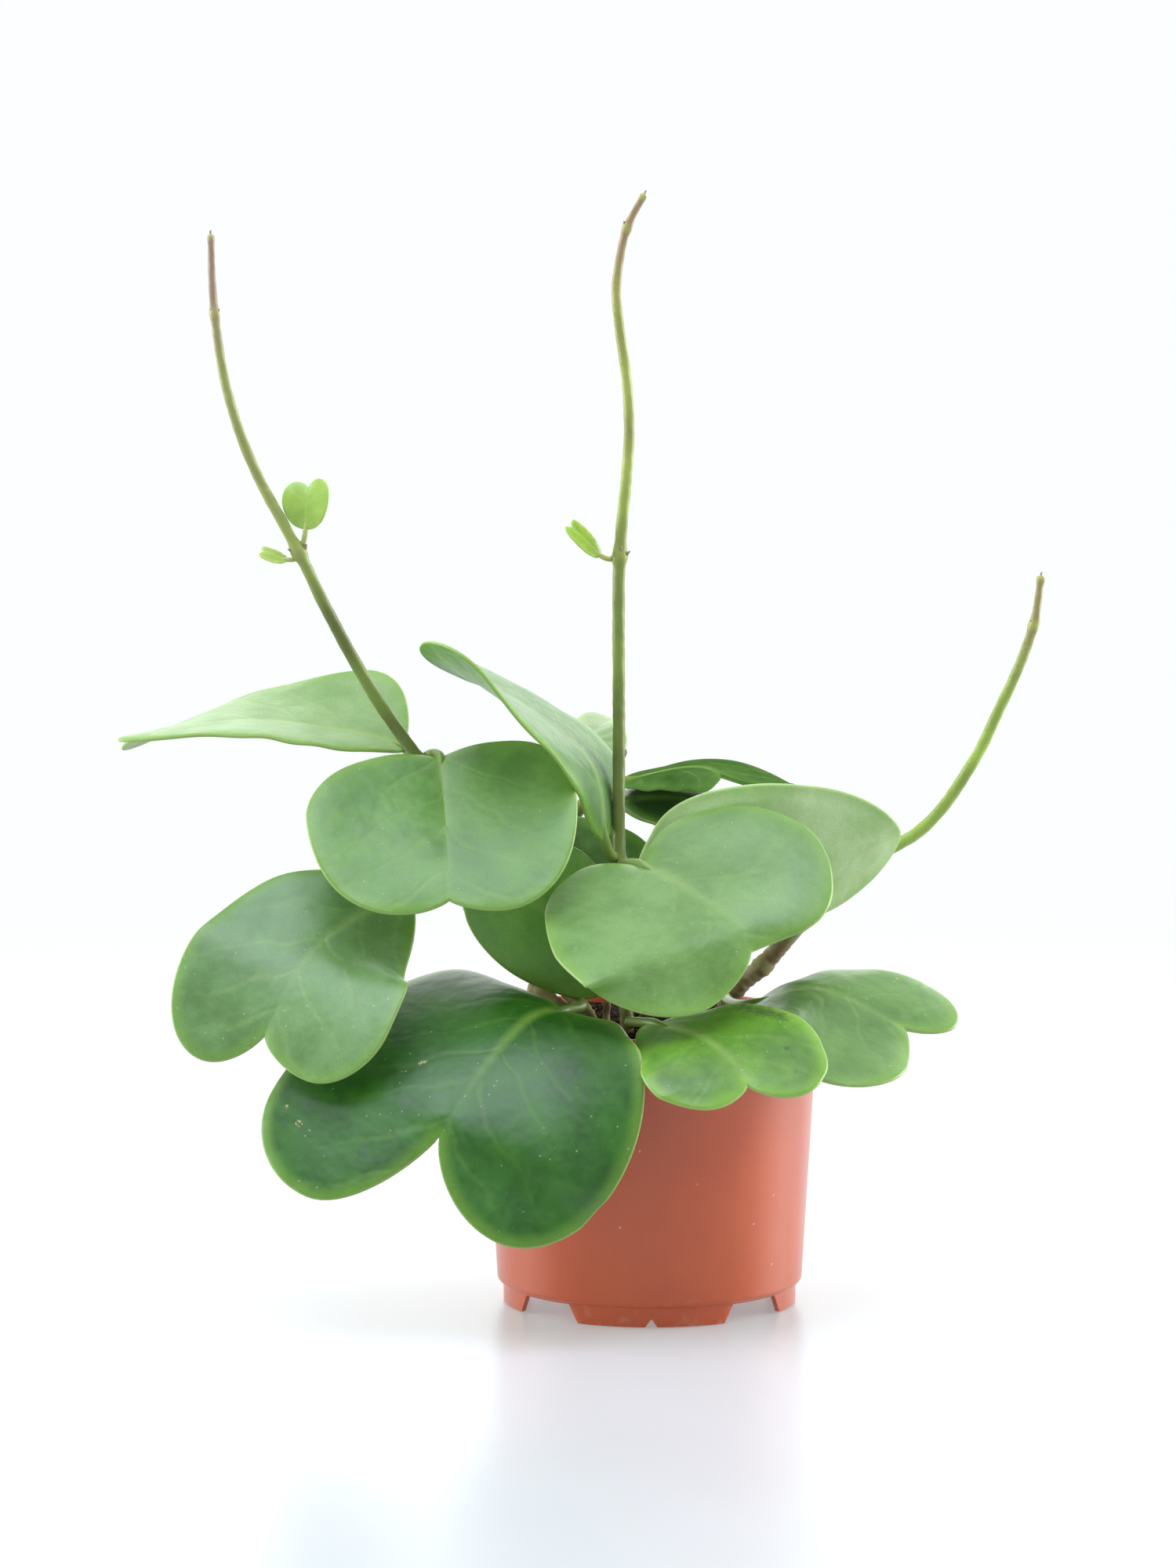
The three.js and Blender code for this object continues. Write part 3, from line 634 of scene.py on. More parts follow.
vineSpec = {
    "sides": 18, "ringEvery": 1.1, "ripple": 0.05, "jointSwell": 1.08, "tipRound": 1.6, "stubSides": 10,
    "deadSides": 12, "deadRings": 22, "brownFrom": 16, "brownFade": 18, "tipLength": 55, "tipFade": 45,
    "ringHeight": 0.22, "knobHeight": 0.12, "deadRidge": 0.07,
    "left": {
        "line": [
            [-18, -12, 82], [-20, -12, 100], [-30, -4, 111], [-45, 4, 125], [-61, 6, 155], [-74, 3, 181],
            [-84, 0, 196], [-95, -2, 212], [-112, -6, 243], [-123, -8, 266], [-139, -10, 297],
            [-147.4, -10, 322], [-152, -8, 351], [-153.2, -5, 377],
        ],
        "radius": [2.4, 2.4, 2.3, 2.2, 2.2, 2.2, 2, 1.8, 1.6, 1.1], "brownTo": 28, "greenness": 0.35,
        "paintedLightByHeight": [240, (0.72, 0.82, 0.55), 290, (1.38, 1.25, 1.35)],
    },
    "centre": {
        "line": [
            [-8, -28, 80], [-8, -28, 97], [-9, -22, 112], [-10.6, -8, 134], [-11, 0, 156], [-11, 2, 184],
            [-11, 2, 212], [-11, 2, 258], [-10.1, 1, 274], [-8, 0, 297], [-7.5, 0, 311], [-8.5, 1, 327],
            [-11, 3, 345], [-12, 4, 357], [-11, 4, 367], [-8.2, 2, 379], [-2, -2, 391],
        ],
        "radius": [2.6, 2.4, 2.25, 2.2, 2.2, 2.2, 2, 1.8, 1.7, 1.1], "brownTo": 20, "greenness": 0.55,
        "paintedLightByHeight": [240, (0.75, 0.82, 0.58), 300, (1.58, 1.52, 1.25)],
    },
    "right": {
        "line": [
            [24, 30, 80], [27, 30, 98], [33, 30, 108], [41, 30, 115], [51, 30, 126.5], [64, 31.5, 140.8],
            [76, 32, 151], [89.4, 30, 159], [96, 30, 163], [103.2, 28, 170], [110.3, 26, 180],
            [118.3, 23, 194], [125.3, 20, 210], [130.6, 18, 222], [134.6, 17, 233], [136.6, 16, 240],
            [138.9, 16, 257],
        ],
        "radius": [3.4, 3.3, 3.2, 2.8, 2.4, 2.2, 2.1, 1.95, 1.8, 1.1], "brownTo": 46, "greenness": 0.8,
        "paintedLightByHeight": [140, (1.0, 1.0, 1.0), 160, (1.4, 1.62, 1.0)],
    },
    "back": {
        "line": [
            [-26, 24, 82], [-27, 25, 98], [-34, 31, 128], [-32, 36, 156], [-24, 40, 172], [-12, 46, 186],
            [-8, 48, 192],
        ],
        "radius": [2, 2, 2, 1.9, 1.7, 1.2], "brownTo": 24, "greenness": 0.5,
        "paintedLightByHeight": [100, (1.0, 1.0, 1.0), 200, (0.8, 0.85, 0.7)],
    },
    # joints: vine, place, radius, half its length
    "joints": [
        ["left", [-81, 1, 191], 3, 3.4], ["left", [-65, 6, 164], 3, 3.4], ["left", [-24, -9, 106], 2.9, 3],
        ["left", [-123, -8, 266], 2.8, 3.4], ["left", [-151.6, -8.2, 349], 1.9, 2.6],
        ["left", [-153.2, -5, 376], 1.3, 3], ["centre", [-10.6, -8, 134], 3.2, 3.4],
        ["centre", [-11, 0, 156], 3, 3.4], ["centre", [-10.7, 2, 264], 2.9, 3.4],
        ["centre", [-8.2, 2, 379], 1.9, 2.6], ["centre", [-2.3, -1.8, 390], 1.3, 3],
        ["right", [41, 30, 115], 3.9, 3.2], ["right", [55, 30.5, 130.9], 3.4, 3.2],
        ["right", [136.4, 16, 239], 2, 2.6], ["right", [138.8, 16, 256], 1.6, 2.4],
        ["back", [-24, 40, 172], 2.5, 3], ["back", [-12, 46, 186], 2.5, 3],
    ],
    # bud scales pressed to the joints: place, way they point, length, thickness
    "stubs": [
        [[-120.6, -9.2, 267], [0.2, -0.3, 1.0], 2.6, 0.9], [[-125.4, -9, 266], [-0.8, -0.2, 0.6], 2.4, 0.9],
        [[-8.2, 0.6, 264.4], [0.6, -0.2, 0.8], 2.6, 0.9], [[-10.4, -0.8, 266.4], [0.1, -0.3, 1.0], 2.0, 0.8],
        [[-152.8, -9, 349.5], [-0.4, -0.2, 0.9], 1.8, 0.6], [[-150.4, -9, 349.5], [0.3, -0.2, 0.9], 1.8, 0.6],
        [[-9.2, 1, 380], [-0.2, -0.3, 0.9], 1.8, 0.6], [[-6.9, 1, 380], [0.5, -0.3, 0.9], 1.6, 0.6],
        [[137.6, 15, 240], [0.4, -0.2, 0.9], 1.8, 0.6], [[135.4, 15, 239.6], [-0.1, -0.2, 0.9], 1.8, 0.6],
        [[-153.2, -5.4, 377], [0.2, -0.2, 1.0], 1.4, 0.6], [[-1.9, -2.2, 391], [0.5, -0.2, 0.8], 1.3, 0.6],
        [[138.9, 15.6, 257], [0.3, -0.2, 1.0], 1.4, 0.6],
        [[41, 27.6, 115.5], [0.5, -0.5, 0.5], 2.6, 1.4], [[55, 28, 131.3], [0.4, -0.5, 0.6], 2.6, 1.4],
        [[-65, 3.6, 165], [-0.3, -0.3, 0.8], 2.2, 1.1], [[-24, -11, 106], [-0.3, -0.5, 0.6], 2.4, 1.2],
    ],
    # short dead stems beside the vines' feet: line, radius
    "deadStems": [
        [[[-22, -15, 94], [-27, -9, 101], [-35, -4, 107.5], [-43, 1, 112.5]], 2.6],
        [[[-15.4, -15, 94], [-15.6, -14, 101], [-15, -13, 108.5]], 1.3],
        [[[-30, 8, 94], [-31, 6, 101], [-36, 3, 106]], 1.9],
    ],
    "green": "#839150", "greenBright": "#93a558", "olive": "#777c48", "purple": "#7c7363", "brown": "#8c7a55",
    "scaleLook": {"greenness": 0.4, "paintedLightByHeight": [0, (1.0, 1.0, 1.0), 400, (1.3, 1.3, 1.2)]},
    "corkLook": {"greenness": 0.2, "paintedLightByHeight": [0, (1.0, 1.0, 1.0), 400, (1.3, 1.3, 1.2)]},
    "tip": "#877761", "joint": "#99a35e", "scar": "#776340", "ring": "#b9ae88",
}


def vineBark(name, spec, look):
    # living hoya stem: waxy green skin going to cork, speckled grey-purple, joints paler with
    # brown scars, the oldest stretch near the pot brown with pale rings
    material, tree = newMaterial(name)
    where = addNode(tree, "TexCoord"), "Object"
    part = painted(tree, "stemPlace")    # old, knob, tip
    drift = noise(tree, where, 38.0, 3.0)
    green = ramp(tree, drift, (0.35, spec["olive"]), (0.5, spec["green"]), (0.68, spec["greenBright"]))
    # speckles about a third of a millimetre, drawn twice as coarse
    speck = noise(tree, where, 950.0, 3.0, 0.7)
    speckMask = remap(tree, speck, (0.5, 0.72), (0.0, 0.3 - 0.2 * look["greenness"]))
    speckled = mixTones(tree, speckMask, green, spec["purple"])
    edge = noise(tree, where, 120.0, 4.0)
    oldMask = remap(tree, scalar(tree, "ADD", (part, "X"), edge), (0.8, 1.15))
    corky = ramp(tree, edge, (0.35, spec["scar"]), (0.52, spec["brown"]), (0.72, spec["ring"]))
    aged = mixTones(tree, oldMask, speckled, corky)
    tipMask = remap(tree, scalar(tree, "ADD", (part, "Z"), speck), (0.7, 1.3))
    tipped = mixTones(tree, tipMask, aged, spec["tip"])
    knobSoft = remap(tree, (part, "Y"), (0.35, 0.95), (0.0, 0.55))
    jointed = mixTones(tree, knobSoft, tipped, spec["joint"])
    scarCut = remap(tree, noise(tree, where, 520.0, 2.0), (0.62, 0.72), (0.0, 0.4))
    colour = mixTones(tree, scalar(tree, "MULTIPLY", scarCut, knobSoft), jointed, spec["scar"])
    # painted light and shade by height, darker and greener low down, paler above: lowest height in mm, its
    # tone, highest, its tone
    low, lowLightTone, high, highLightTone = look["paintedLightByHeight"]
    rise = remap(tree, (addNode(tree, "SeparateXYZ", {0: where}), "Z"), (low / 1000, high / 1000))
    paintedLightByHeight = mixTones(tree, rise, (*lowLightTone, 1), (*highLightTone, 1))
    heightLitColour = addNode(tree, "VectorMath", {"operation": "MULTIPLY", 0: colour, 1: paintedLightByHeight})
    rough = remap(tree, oldMask, (0.0, 1.0), (0.36, 0.75))
    bump = addNode(tree, "Bump", {"Strength": 0.15, "Distance": 0.0004, "Height": edge})
    return withSkin(material, {
        "IOR": 1.45, "Sheen Weight": 0.12, "Sheen Roughness": 0.45, "Base Color": heightLitColour,
        "Roughness": rough, "Normal": bump,
    })


def tubeAlong(dense, radii, sides, rings):
    # a ball drawn out along a line; radii gives its radius at each distance, and its poles close it;
    # with it come, for each vertex, the line's place, the way out from there, its distance and its turn
    tube, column, level = ballGrid(sides, rings)
    reach = np.linspace(0, alongLine(dense, np.zeros(1))[2], rings + 1)
    places, ways, _ = alongLine(dense, reach)
    side = np.cross(ways[0], [0.3, 1.0, 0.2])
    sideways = []
    for way in ways:
        side = unit(side - way * np.dot(side, way))
        sideways.append(side)
    sideways = np.array(sideways)
    others = np.cross(ways, sideways)
    around = column / sides * 2 * np.pi
    radius = radii(reach)
    radius[0] = radius[-1] = 0
    out = sideways[level] * np.cos(around)[:, None] + others[level] * np.sin(around)[:, None]
    return tube, places[level], out * radius[level][:, None], reach[level], around


def buildVine(name, spec):
    look = spec[name]
    dense = smoothLine(look["line"])
    length = alongLine(dense, np.zeros(1))[2]
    rings = int(length / spec["ringEvery"])
    reachOf = lengthsAlong(dense)
    stops = [(reachOf[np.argmin(np.linalg.norm(dense - np.array(place), axis=1))],
              spec["jointSwell"] * radius, half)
             for vine, place, radius, half in spec["joints"] if vine == name]

    def radii(reach):
        steps = len(look["radius"])
        base = np.interp(reach / length * (steps - 1), np.arange(steps), look["radius"])
        for at, radius, half in stops:
            d = np.abs(reach - at) / half
            base = np.maximum(base, radius * np.sqrt(np.clip(1 - d * d * 0.72, 0, 1)))
        # soft shoulders beside the joints, and a rounded tip
        kernel = np.array([1, 2, 3, 2, 1]) / 9
        base = np.convolve(np.pad(base, 2, mode="edge"), kernel, mode="valid")
        left = np.clip((length - reach) / spec["tipRound"], 0, 1)
        return base * np.sqrt(np.clip(1 - (1 - left) ** 2, 0, 1))

    vine, centre, out, along, around = tubeAlong(dense, radii, spec["sides"], rings)
    knob = np.zeros(len(along))
    for at, radius, half in stops:
        knob = np.maximum(knob, np.exp(-((along - at) / (half * 0.9)) ** 2))
    ripple = np.sin(along * 0.9 + 2 * np.sin(along * 0.23) + around * 2) + np.sin(around * 5 + along * 0.31)
    old = np.clip((look["brownTo"] + spec["brownFrom"] - along) / spec["brownFade"], 0, 1)
    ring = (spec["ringHeight"] * old * np.sin(along * 2.1 + np.sin(around))
            + spec["knobHeight"] * knob * np.sin(around * 3 + along))
    thick = np.maximum(np.linalg.norm(out, axis=1), 0.6)
    points = centre + out * (1 + (spec["ripple"] * ripple + ring) / thick)[:, None]
    tip = np.clip((along - length + spec["tipLength"]) / spec["tipFade"], 0, 1)
    setPoints(vine.data, toFrame(points))
    paint(vine.data, "stemPlace", old, knob, tip)
    turnFacesOut(vine)
    bpy.ops.object.shade_smooth()
    return vine


def buildStubs(spec):
    # bud scales and stalk stubs: one pointed scale is pressed from a ball, then copied to each place
    scale, column, level = ballGrid(spec["stubSides"], spec["stubSides"])
    around = column / spec["stubSides"] * 2 * np.pi
    t = level / spec["stubSides"]
    width = np.sin(np.pi * np.clip(t, 0, 1)) ** 0.6 * (1 - 0.45 * t)
    shape = np.stack([width * np.cos(around) * 0.5,
                      width * np.sin(around) * 0.36 + 0.14 * np.sin(np.pi * t), t], -1)
    setPoints(scale.data, shape)
    copies = []
    for place, way, length, thick in spec["stubs"]:
        stub = duplicate(scale)
        turn = np.array(Vector(way).normalized().to_track_quat("Z", "Y").to_matrix())
        points = (shape * [thick * 1.9, thick * 1.9, length]) @ turn.T
        setPoints(stub.data, toFrame(points + np.array(place) - unit(way) * 0.4))
        paint(stub.data, "stemPlace", 0.25, 0.55 * (1 - t), 0.4 + 0.6 * t)
        copies.append(stub)
    bpy.data.objects.remove(scale)
    stubs = joinAll(copies, "budScales")
    turnFacesOut(stubs)
    bpy.ops.object.shade_smooth()
    return stubs


def buildDeadStems(spec):
    # stems cut off long ago: dry, ridged, with a flat cut
    stems = []
    for line, radius in spec["deadStems"]:
        dense = smoothLine(line)

        def radii(reach):
            return radius * (1 + 0.08 * np.sin(reach * 1.7)) * np.where(reach < reach[-1], 1, 0)
        stem, centre, out, along, around = tubeAlong(dense, radii, spec["deadSides"], spec["deadRings"])
        ridges = 1 + spec["deadRidge"] * np.sin(around * 4 + along * 0.8)
        setPoints(stem.data, toFrame(centre + out * ridges[:, None]))
        paint(stem.data, "stemPlace", 1, 0, 0)
        turnFacesOut(stem)
        bpy.ops.object.shade_smooth()
        stems.append(stem)
    return joinAll(stems, "deadStems")


for vineName in ("left", "centre", "right", "back"):
    vine = buildVine(vineName, vineSpec)
    vine.name = vineName + "Vine"
    finishPiece(vine, vineBark("waxyHoyaStem" + vineName.capitalize(), vineSpec, vineSpec[vineName]),
                "vine_bark", "vine_" + vineName)
for build, skinName, lookName in ((buildStubs, "dryBudScale", "scaleLook"),
                                  (buildDeadStems, "dryHoyaCork", "corkLook")):
    finishPiece(build(vineSpec), vineBark(skinName, vineSpec, vineSpec[lookName]), "vine_bark")
print("scene: vines, bud scales and dead stems")


# root: where the stalk leaves the vine; midrib: from the blade's base to the line of its lobes;
# face: the way the upper side looks; twist: turns it from base to tip; a half is its width, how far
# its widest line is from the base, its lobe's distance from the midrib, the lobe's reach, its lift at
# the base and at the tip, how full its shoulder is and how far it bulges back past the stalk; notch:
# how far the notch is from the base; joint: the vine's radius there; thin: a young leaf's share
leafColumns = ("root", "midrib", "face", "twist", "notch", "joint", "left", "right", "thin")
leafRows = {
    "leaf_a": ([-81, 1, 191], [[-87, 10, 196], [-111, 10, 201], [-143, 7, 205], [-190, 0, 201]],
        [0, -0.15, 1], 8, 85, 3, [28, 52, 14, 103, -2, 4, 0.33], [37, 20, 22, 101, 59, -31]),
    "leaf_b": ([-81, 1, 191], [[-74.2, -2, 194], [-71.2, -28, 170.2], [-69.2, -54, 144.2]],
        [0, -1, 1], 0, 66, 3, [47, 32, 21, 72, 30, 10, 0.64, 6], [49, 34, 21, 72, 24, 10, 0.48, 3]),
    "leaf_c": ([-12, 1, 157.5], [[-15.5, -8, 164.4], [-22, -7, 191.5], [-56, 0, 217.5], [-85, 3, 231.3]],
        [0.7, -0.22, 0.7], -3, 80, 3.2, [48, 78, 21, 99, -11, 51, 0.09], [31, 29, 16, 96, 9, -16, 0.12]),
    "leaf_d": ([-65, 6, 164], [[-87, -14, 148], [-112, -32, 133], [-123, -46, 121], [-141, -60, 86]],
        [-0.2, -0.8, 0.5], 0, 79, 3, [43, 65, 22, 88, 10, 10, 0.27, 2], [40, 61, 18, 95, 10, 10, 0.21, 3]),
    "leaf_e": ([-10.6, -8.6, 132.6], [[-12, -5, 129], [-37, -11, 140], [-51, -16, 155]],
        [0.3, -0.94, 0.03], 0, 44, 3.2, [25, 21, 15, 55, 0, 0, 1.01, 12], [25, 28, 14, 50, 0, 0]),
    "leaf_f": ([-11, -1, 154.5], [[-3, -16, 157], [13, -32, 149], [31, -50, 137], [39, -58, 117]],
         [0, -0.57, 0.81], 0, 60, 3.2,
        [50, 29, 16, 59, 10, 10, 0.54, 21], [65, 46, 27, 75, 10, 10, 0.31, 33]),
    "leaf_g": ([-24, -9, 106], [[-30, -32, 108], [-42, -44, 106], [-68, -76, 79], [-74, -81, 69]],
         [0, -0.5, 0.85], -14, 76, 3.2,
        [62, 58, 33, 99, 38, -12, 0.61, 7], [64, 84, 32, 114, -18, -18, 0.98, 13]),
    "leaf_h": ([-8, -28, 103], [[1, -50, 106], [18, -66, 102], [29, -81, 94], [34, -89, 87]],
        [0.08, -0.35, 0.93], 0, 51, 2.6, [36, 30, 17, 60, 8, 8, 0.12], [32, 38, 13, 56, -2, -10, 0.12, 8]),
    "leaf_i": ([27, 30, 104], [[35, -9, 107], [58, -13, 112], [87, -23, 101], [104, -26, 95]],
        [-0.26, -0.13, 0.95], 15, 59, 3.4, [30, 59, 13, 75, -4, 2, 0.12], [49, 37, 23, 65, 4, 4, 0.4, 2]),
    "leaf_j": ([-9, -7.8, 136.6], [[3, 8, 134], [20, 14, 136], [50, 23, 134], [78, 33, 134]],
        [-0.26, -0.95, -0.15], 12, 62, 1.6, [53, 44, 32, 86, -4, 14, 0.3, 21], [10, 26, 6, 54, 4, 2]),
    "leaf_k": ([-12, 46, 186], [[-8, 43, 181], [19, 36, 186], [37, 28, 181], [50, 20, 180]],
        [0, 0, 1], 5, 36, 2.5, [41, 30, 16, 61, 3, -18, 0.74, 12], [22, 28, 12, 39, -16, -18, 0.35, 3]),
    "leaf_l": ([-24, 40, 172], [[-13, 43, 174], [10, 46, 174], [40, 48, 168]],
        [0, -0.5, 0.85], 0, 50, 2.5, [24, 28, 14, 58, -40, -40], [27, 40, 16, 60, 0, 0, 0.12]),
    "leaf_m": ([-12, 46, 186], [[-17, 51, 187], [-22, 64, 192], [-27, 78, 196]],
        [0, -0.5, 0.85], 0, 28, 2.5, [12, 14, 5, 28, 30, 30], [17, 26, 9, 44, 5, 5]),
    "leaf_n": ([-65, 6, 164], [[-54, 13, 155], [-27, 26, 144], [0, 33, 132]],
        [0.2, -0.9, 0.4], 0, 50, 3, [28, 44, 16, 62, 5, 5], [30, 28, 16, 58, 5, 5]),
    "young_leaf_a": ([-123, -8, 266], [[-120.5, -10, 274], [-120, -10, 283], [-119.5, -8, 291]],
        [-0.3, -1, 0.1], 0, 15, 2.8, [9, 11, 4, 17, 20, 10], [9, 11, 4, 18, 30, 20], 0.5),
    "young_leaf_b": ([-123, -8, 266], [[-127, -8, 263.5], [-130, -8, 264], [-135, -8, 266]],
        [0.2, -0.6, 0.8], 0, 9, 2.8, [4, 5, 2, 10, 30, 10], [3.5, 5, 2, 10, 10, 10], 0.45),
    "young_leaf_c": ([-10.7, 2, 264], [[-17.5, 1, 264.5], [-22, 0, 268.5], [-28, 0, 275]],
        [0.5, -0.7, 0.5], 0, 14, 2.9, [5, 8, 2.5, 16, 30, 20], [4.5, 8, 2.5, 16, 10, 10], 0.5),
}
leafShapes = {leaf: dict(zip(leafColumns, row)) for leaf, row in leafRows.items()}

bladeSpec = {
    # segments, rings, how much of the waves, height of the rim's waves
    "grownMesh": (168, 44, 1.0, 0.35), "youngMesh": (72, 24, 0.4, 0.12), "roundLevels": 5,
    "middleHalf": 1.3, "rimHalf": 0.72, "margin": 0.95, "petiole": 1.9, "waveHeight": 0.34,
    "groove": 0.16, "grooveWidth": 1.8, "ridge": 0.45, "ridgeWidth": 1.7, "droop": 0.9,
    "droopWidth": 9.0, "foldRound": 6.0, "rimWaves": 9, "rimWaveDepth": 5, "stalkSides": 16,
    "stalkRingEvery": 0.9, "stalkInside": 9, "stalkSwell": 0.22,
}

# how each leaf is coloured; its flesh tones are set to how light falls on that leaf, so besides its own
# green they carry painted light and shade; marks are [across, along, size, strength] on the flat leaf
leafLooks = {
    "default": {"fleshAndPaintedLight": ("#4c7f2c", "#5c8f38", "#6d9d47"), "vein": "#a3bf68", "band": "#7dab3c",
                "margin": "#a8c56a", "under": "#8fb070", "underVein": "#b3c98a", "stalk": "#7f9c46",
                "stalkFoot": "#7c9048", "veins": 0.2, "rib": 0.45, "mottle": 0.45,
                "gloss": 0.4, "ior": 1.5, "coat": 0.35, "specular": 0.5},
    "young": {"fleshAndPaintedLight": ("#79b52a", "#94cb3e", "#aed957"), "vein": "#b9dc74", "band": "#a2cf50",
              "margin": "#d5e59a", "under": "#9cc75a", "underVein": "#c4e08c", "stalk": "#c2c976",
              "veins": 0.25, "mottle": 0.4, "gloss": 0.3},
    "leaf_a": {"fleshAndPaintedLight": ("#7ea062", "#8ead72", "#9cb881"), "scars": [[17, 45, 2.4, 0.9]],
               "coat": 0.0, "ior": 1.3},
    "leaf_b": {"fleshAndPaintedLight": ("#528430", "#64963c", "#73a24a"), "rib": 0.35,
               "scars": [[-29, 36, 1.3, 1.0], [-8, 36, 1.2, 1.0]]},
    "leaf_c": {"fleshAndPaintedLight": ("#4f783b", "#5c8548", "#6a9155"), "band": "#7cb02c", "under": "#7fb04a",
               "coat": 0.05, "ior": 1.4},
    "leaf_d": {"fleshAndPaintedLight": ("#56803f", "#679152", "#7aa068"), "veins": 0.34},
    "leaf_e": {"fleshAndPaintedLight": ("#61993a", "#76af47", "#87c056")},
    "leaf_f": {"fleshAndPaintedLight": ("#5c883a", "#6b974a", "#7aa259"), "rib": 0.35},
    # partly painted shade: G's deep green is its own colour, darkened further for the shade of the leaves
    # above it
    "leaf_g": {"fleshAndPaintedLight": ("#1c510a", "#2a6610", "#397618"), "veins": 0.3, "rib": 0.7, "mottle": 0.6,
               "vein": "#86ad45", "coat": 0.15,
               "scars": [[62, 82, 2.2, 1.0], [58, 85, 2.2, 1.0], [54, 88, 2.4, 0.9], [49, 91, 2.2, 1.0],
                         [46, 92, 1.8, 0.9], [23, 66, 2.0, 0.9], [23, 59, 2.4, 0.8], [20, 53, 2.2, 0.9],
                         [18, 48, 1.8, 0.9]]},
    "leaf_h": {"fleshAndPaintedLight": ("#447515", "#5b8e20", "#79ac30"), "band": "#8cc03e", "veins": 0.2,
               "smudges": [[-26, 18, 6, 0.8], [-28, 23, 5, 0.9], [-30, 27, 4, 0.8], [-21, 41, 1.6, 0.9],
                           [-19, 51, 1.6, 0.9], [-12, 55, 1.3, 0.8]]},
    "leaf_i": {"fleshAndPaintedLight": ("#4f7c31", "#5f8b3d", "#6f984d"),
               "scars": [[-1, 24, 1.5, 0.8], [-5, 34, 1.4, 0.8], [-23, 45, 1.6, 0.8]]},
    # painted light: J's very pale flesh stands in for light shining through the leaf from behind
    "leaf_j": {"fleshAndPaintedLight": ("#b8de90", "#cfeeac", "#e2f8c2"),
               "scars": [[-36, 86, 2.2, 1.0], [-33, 89, 2.0, 1.0]]},
    # painted shade: K's dark flesh, margin and band stand in for the shade on its underside
    "leaf_k": {"fleshAndPaintedLight": ("#385824", "#476731", "#57763d"), "margin": "#668a44", "band": "#567f39",
               "coat": 0.0, "specular": 0.0},
    # painted shade: L's very dark flesh stands in for the shade under leaf K
    "leaf_l": {"fleshAndPaintedLight": ("#244624", "#335a2f", "#436c3a")},
    "leaf_m": {"fleshAndPaintedLight": ("#698a45", "#779553", "#86a060")},
    # painted shade: N's dark flesh stands in for the shade it lies in
    "leaf_n": {"fleshAndPaintedLight": ("#315a17", "#406c1e", "#6d9d47")},
    "young_leaf_a": {"fleshAndPaintedLight": ("#95bd4b", "#a8cc5a", "#bbd970")},
    "young_leaf_b": {"fleshAndPaintedLight": ("#8faa39", "#9db944", "#afc759")},
    "young_leaf_c": {"fleshAndPaintedLight": ("#80a31c", "#8eb123", "#a2c236")},
}


def halfOutline(half, notch, side, count):
    # one half of the heart from the base round to the notch, at even steps
    width, widest, lobe, reach = half[:4]
    shoulder = half[6] if len(half) > 6 else 0.6
    back = half[7] if len(half) > 7 else 0
    corners = [
        [(0, 0), (width * shoulder, -0.02 * reach - back), (width, (widest - back) * 0.5), (width, widest)],
        [(width, widest), (width, widest + 0.55 * (reach - widest)),
         (lobe + 0.55 * (width - lobe), reach), (lobe, reach)],
        [(lobe, reach), (lobe * 0.5, reach), (lobe * 0.1, notch + 0.4 * (reach - notch)), (0, notch)],
    ]
    t = np.linspace(0, 1, 80)[:, None]
    line = np.vstack([(1 - t) ** 3 * np.array(a) + 3 * (1 - t) ** 2 * t * np.array(b)
                      + 3 * (1 - t) * t ** 2 * np.array(c) + t ** 3 * np.array(d) for a, b, c, d in corners])
    line = line[np.concatenate([[True], np.linalg.norm(np.diff(line, axis=0), axis=1) > 1e-9])]
    reachOf = lengthsAlong(line)
    even = np.linspace(0, reachOf[-1], count + 1)
    return np.stack([side * np.interp(even, reachOf, line[:, 0]), np.interp(even, reachOf, line[:, 1])], -1)


def bendLeaf(shape, dense, x, y):
    # where a point of the flat leaf lies once the leaf is bent
    centre, along, length = alongLine(dense, y)
    t = np.clip(y / length, 0, 1)
    face = unit(shape["face"])
    up = unit(face - along * (along @ face)[:, None])
    turn = np.radians(shape["twist"]) * t[:, None]
    up = up * np.cos(turn) + np.cross(along, up) * np.sin(turn)
    side = np.cross(along, up)
    left, right = shape["left"], shape["right"]
    pick = x < 0
    lift = np.radians(np.where(pick, left[4] + (left[5] - left[4]) * t, right[4] + (right[5] - right[4]) * t))
    first = 0.4 * lift
    rate = 0.6 * lift / np.where(pick, left[0], right[0])
    rate = np.where(np.abs(rate) < 1e-6, 1e-6, rate)
    d = np.abs(x)
    across = (np.sin(first + rate * d) - np.sin(first)) / rate
    rise = (np.cos(first) - np.cos(first + rate * d)) / rate
    return centre + side * (np.sign(x) * across)[:, None] + up * rise[:, None]


def leafNormal(shape, dense, x, y, e=0.5):
    dx = bendLeaf(shape, dense, x + e, y) - bendLeaf(shape, dense, x - e, y)
    dy = bendLeaf(shape, dense, x, y + e) - bendLeaf(shape, dense, x, y - e)
    return unit(np.cross(dx, dy))


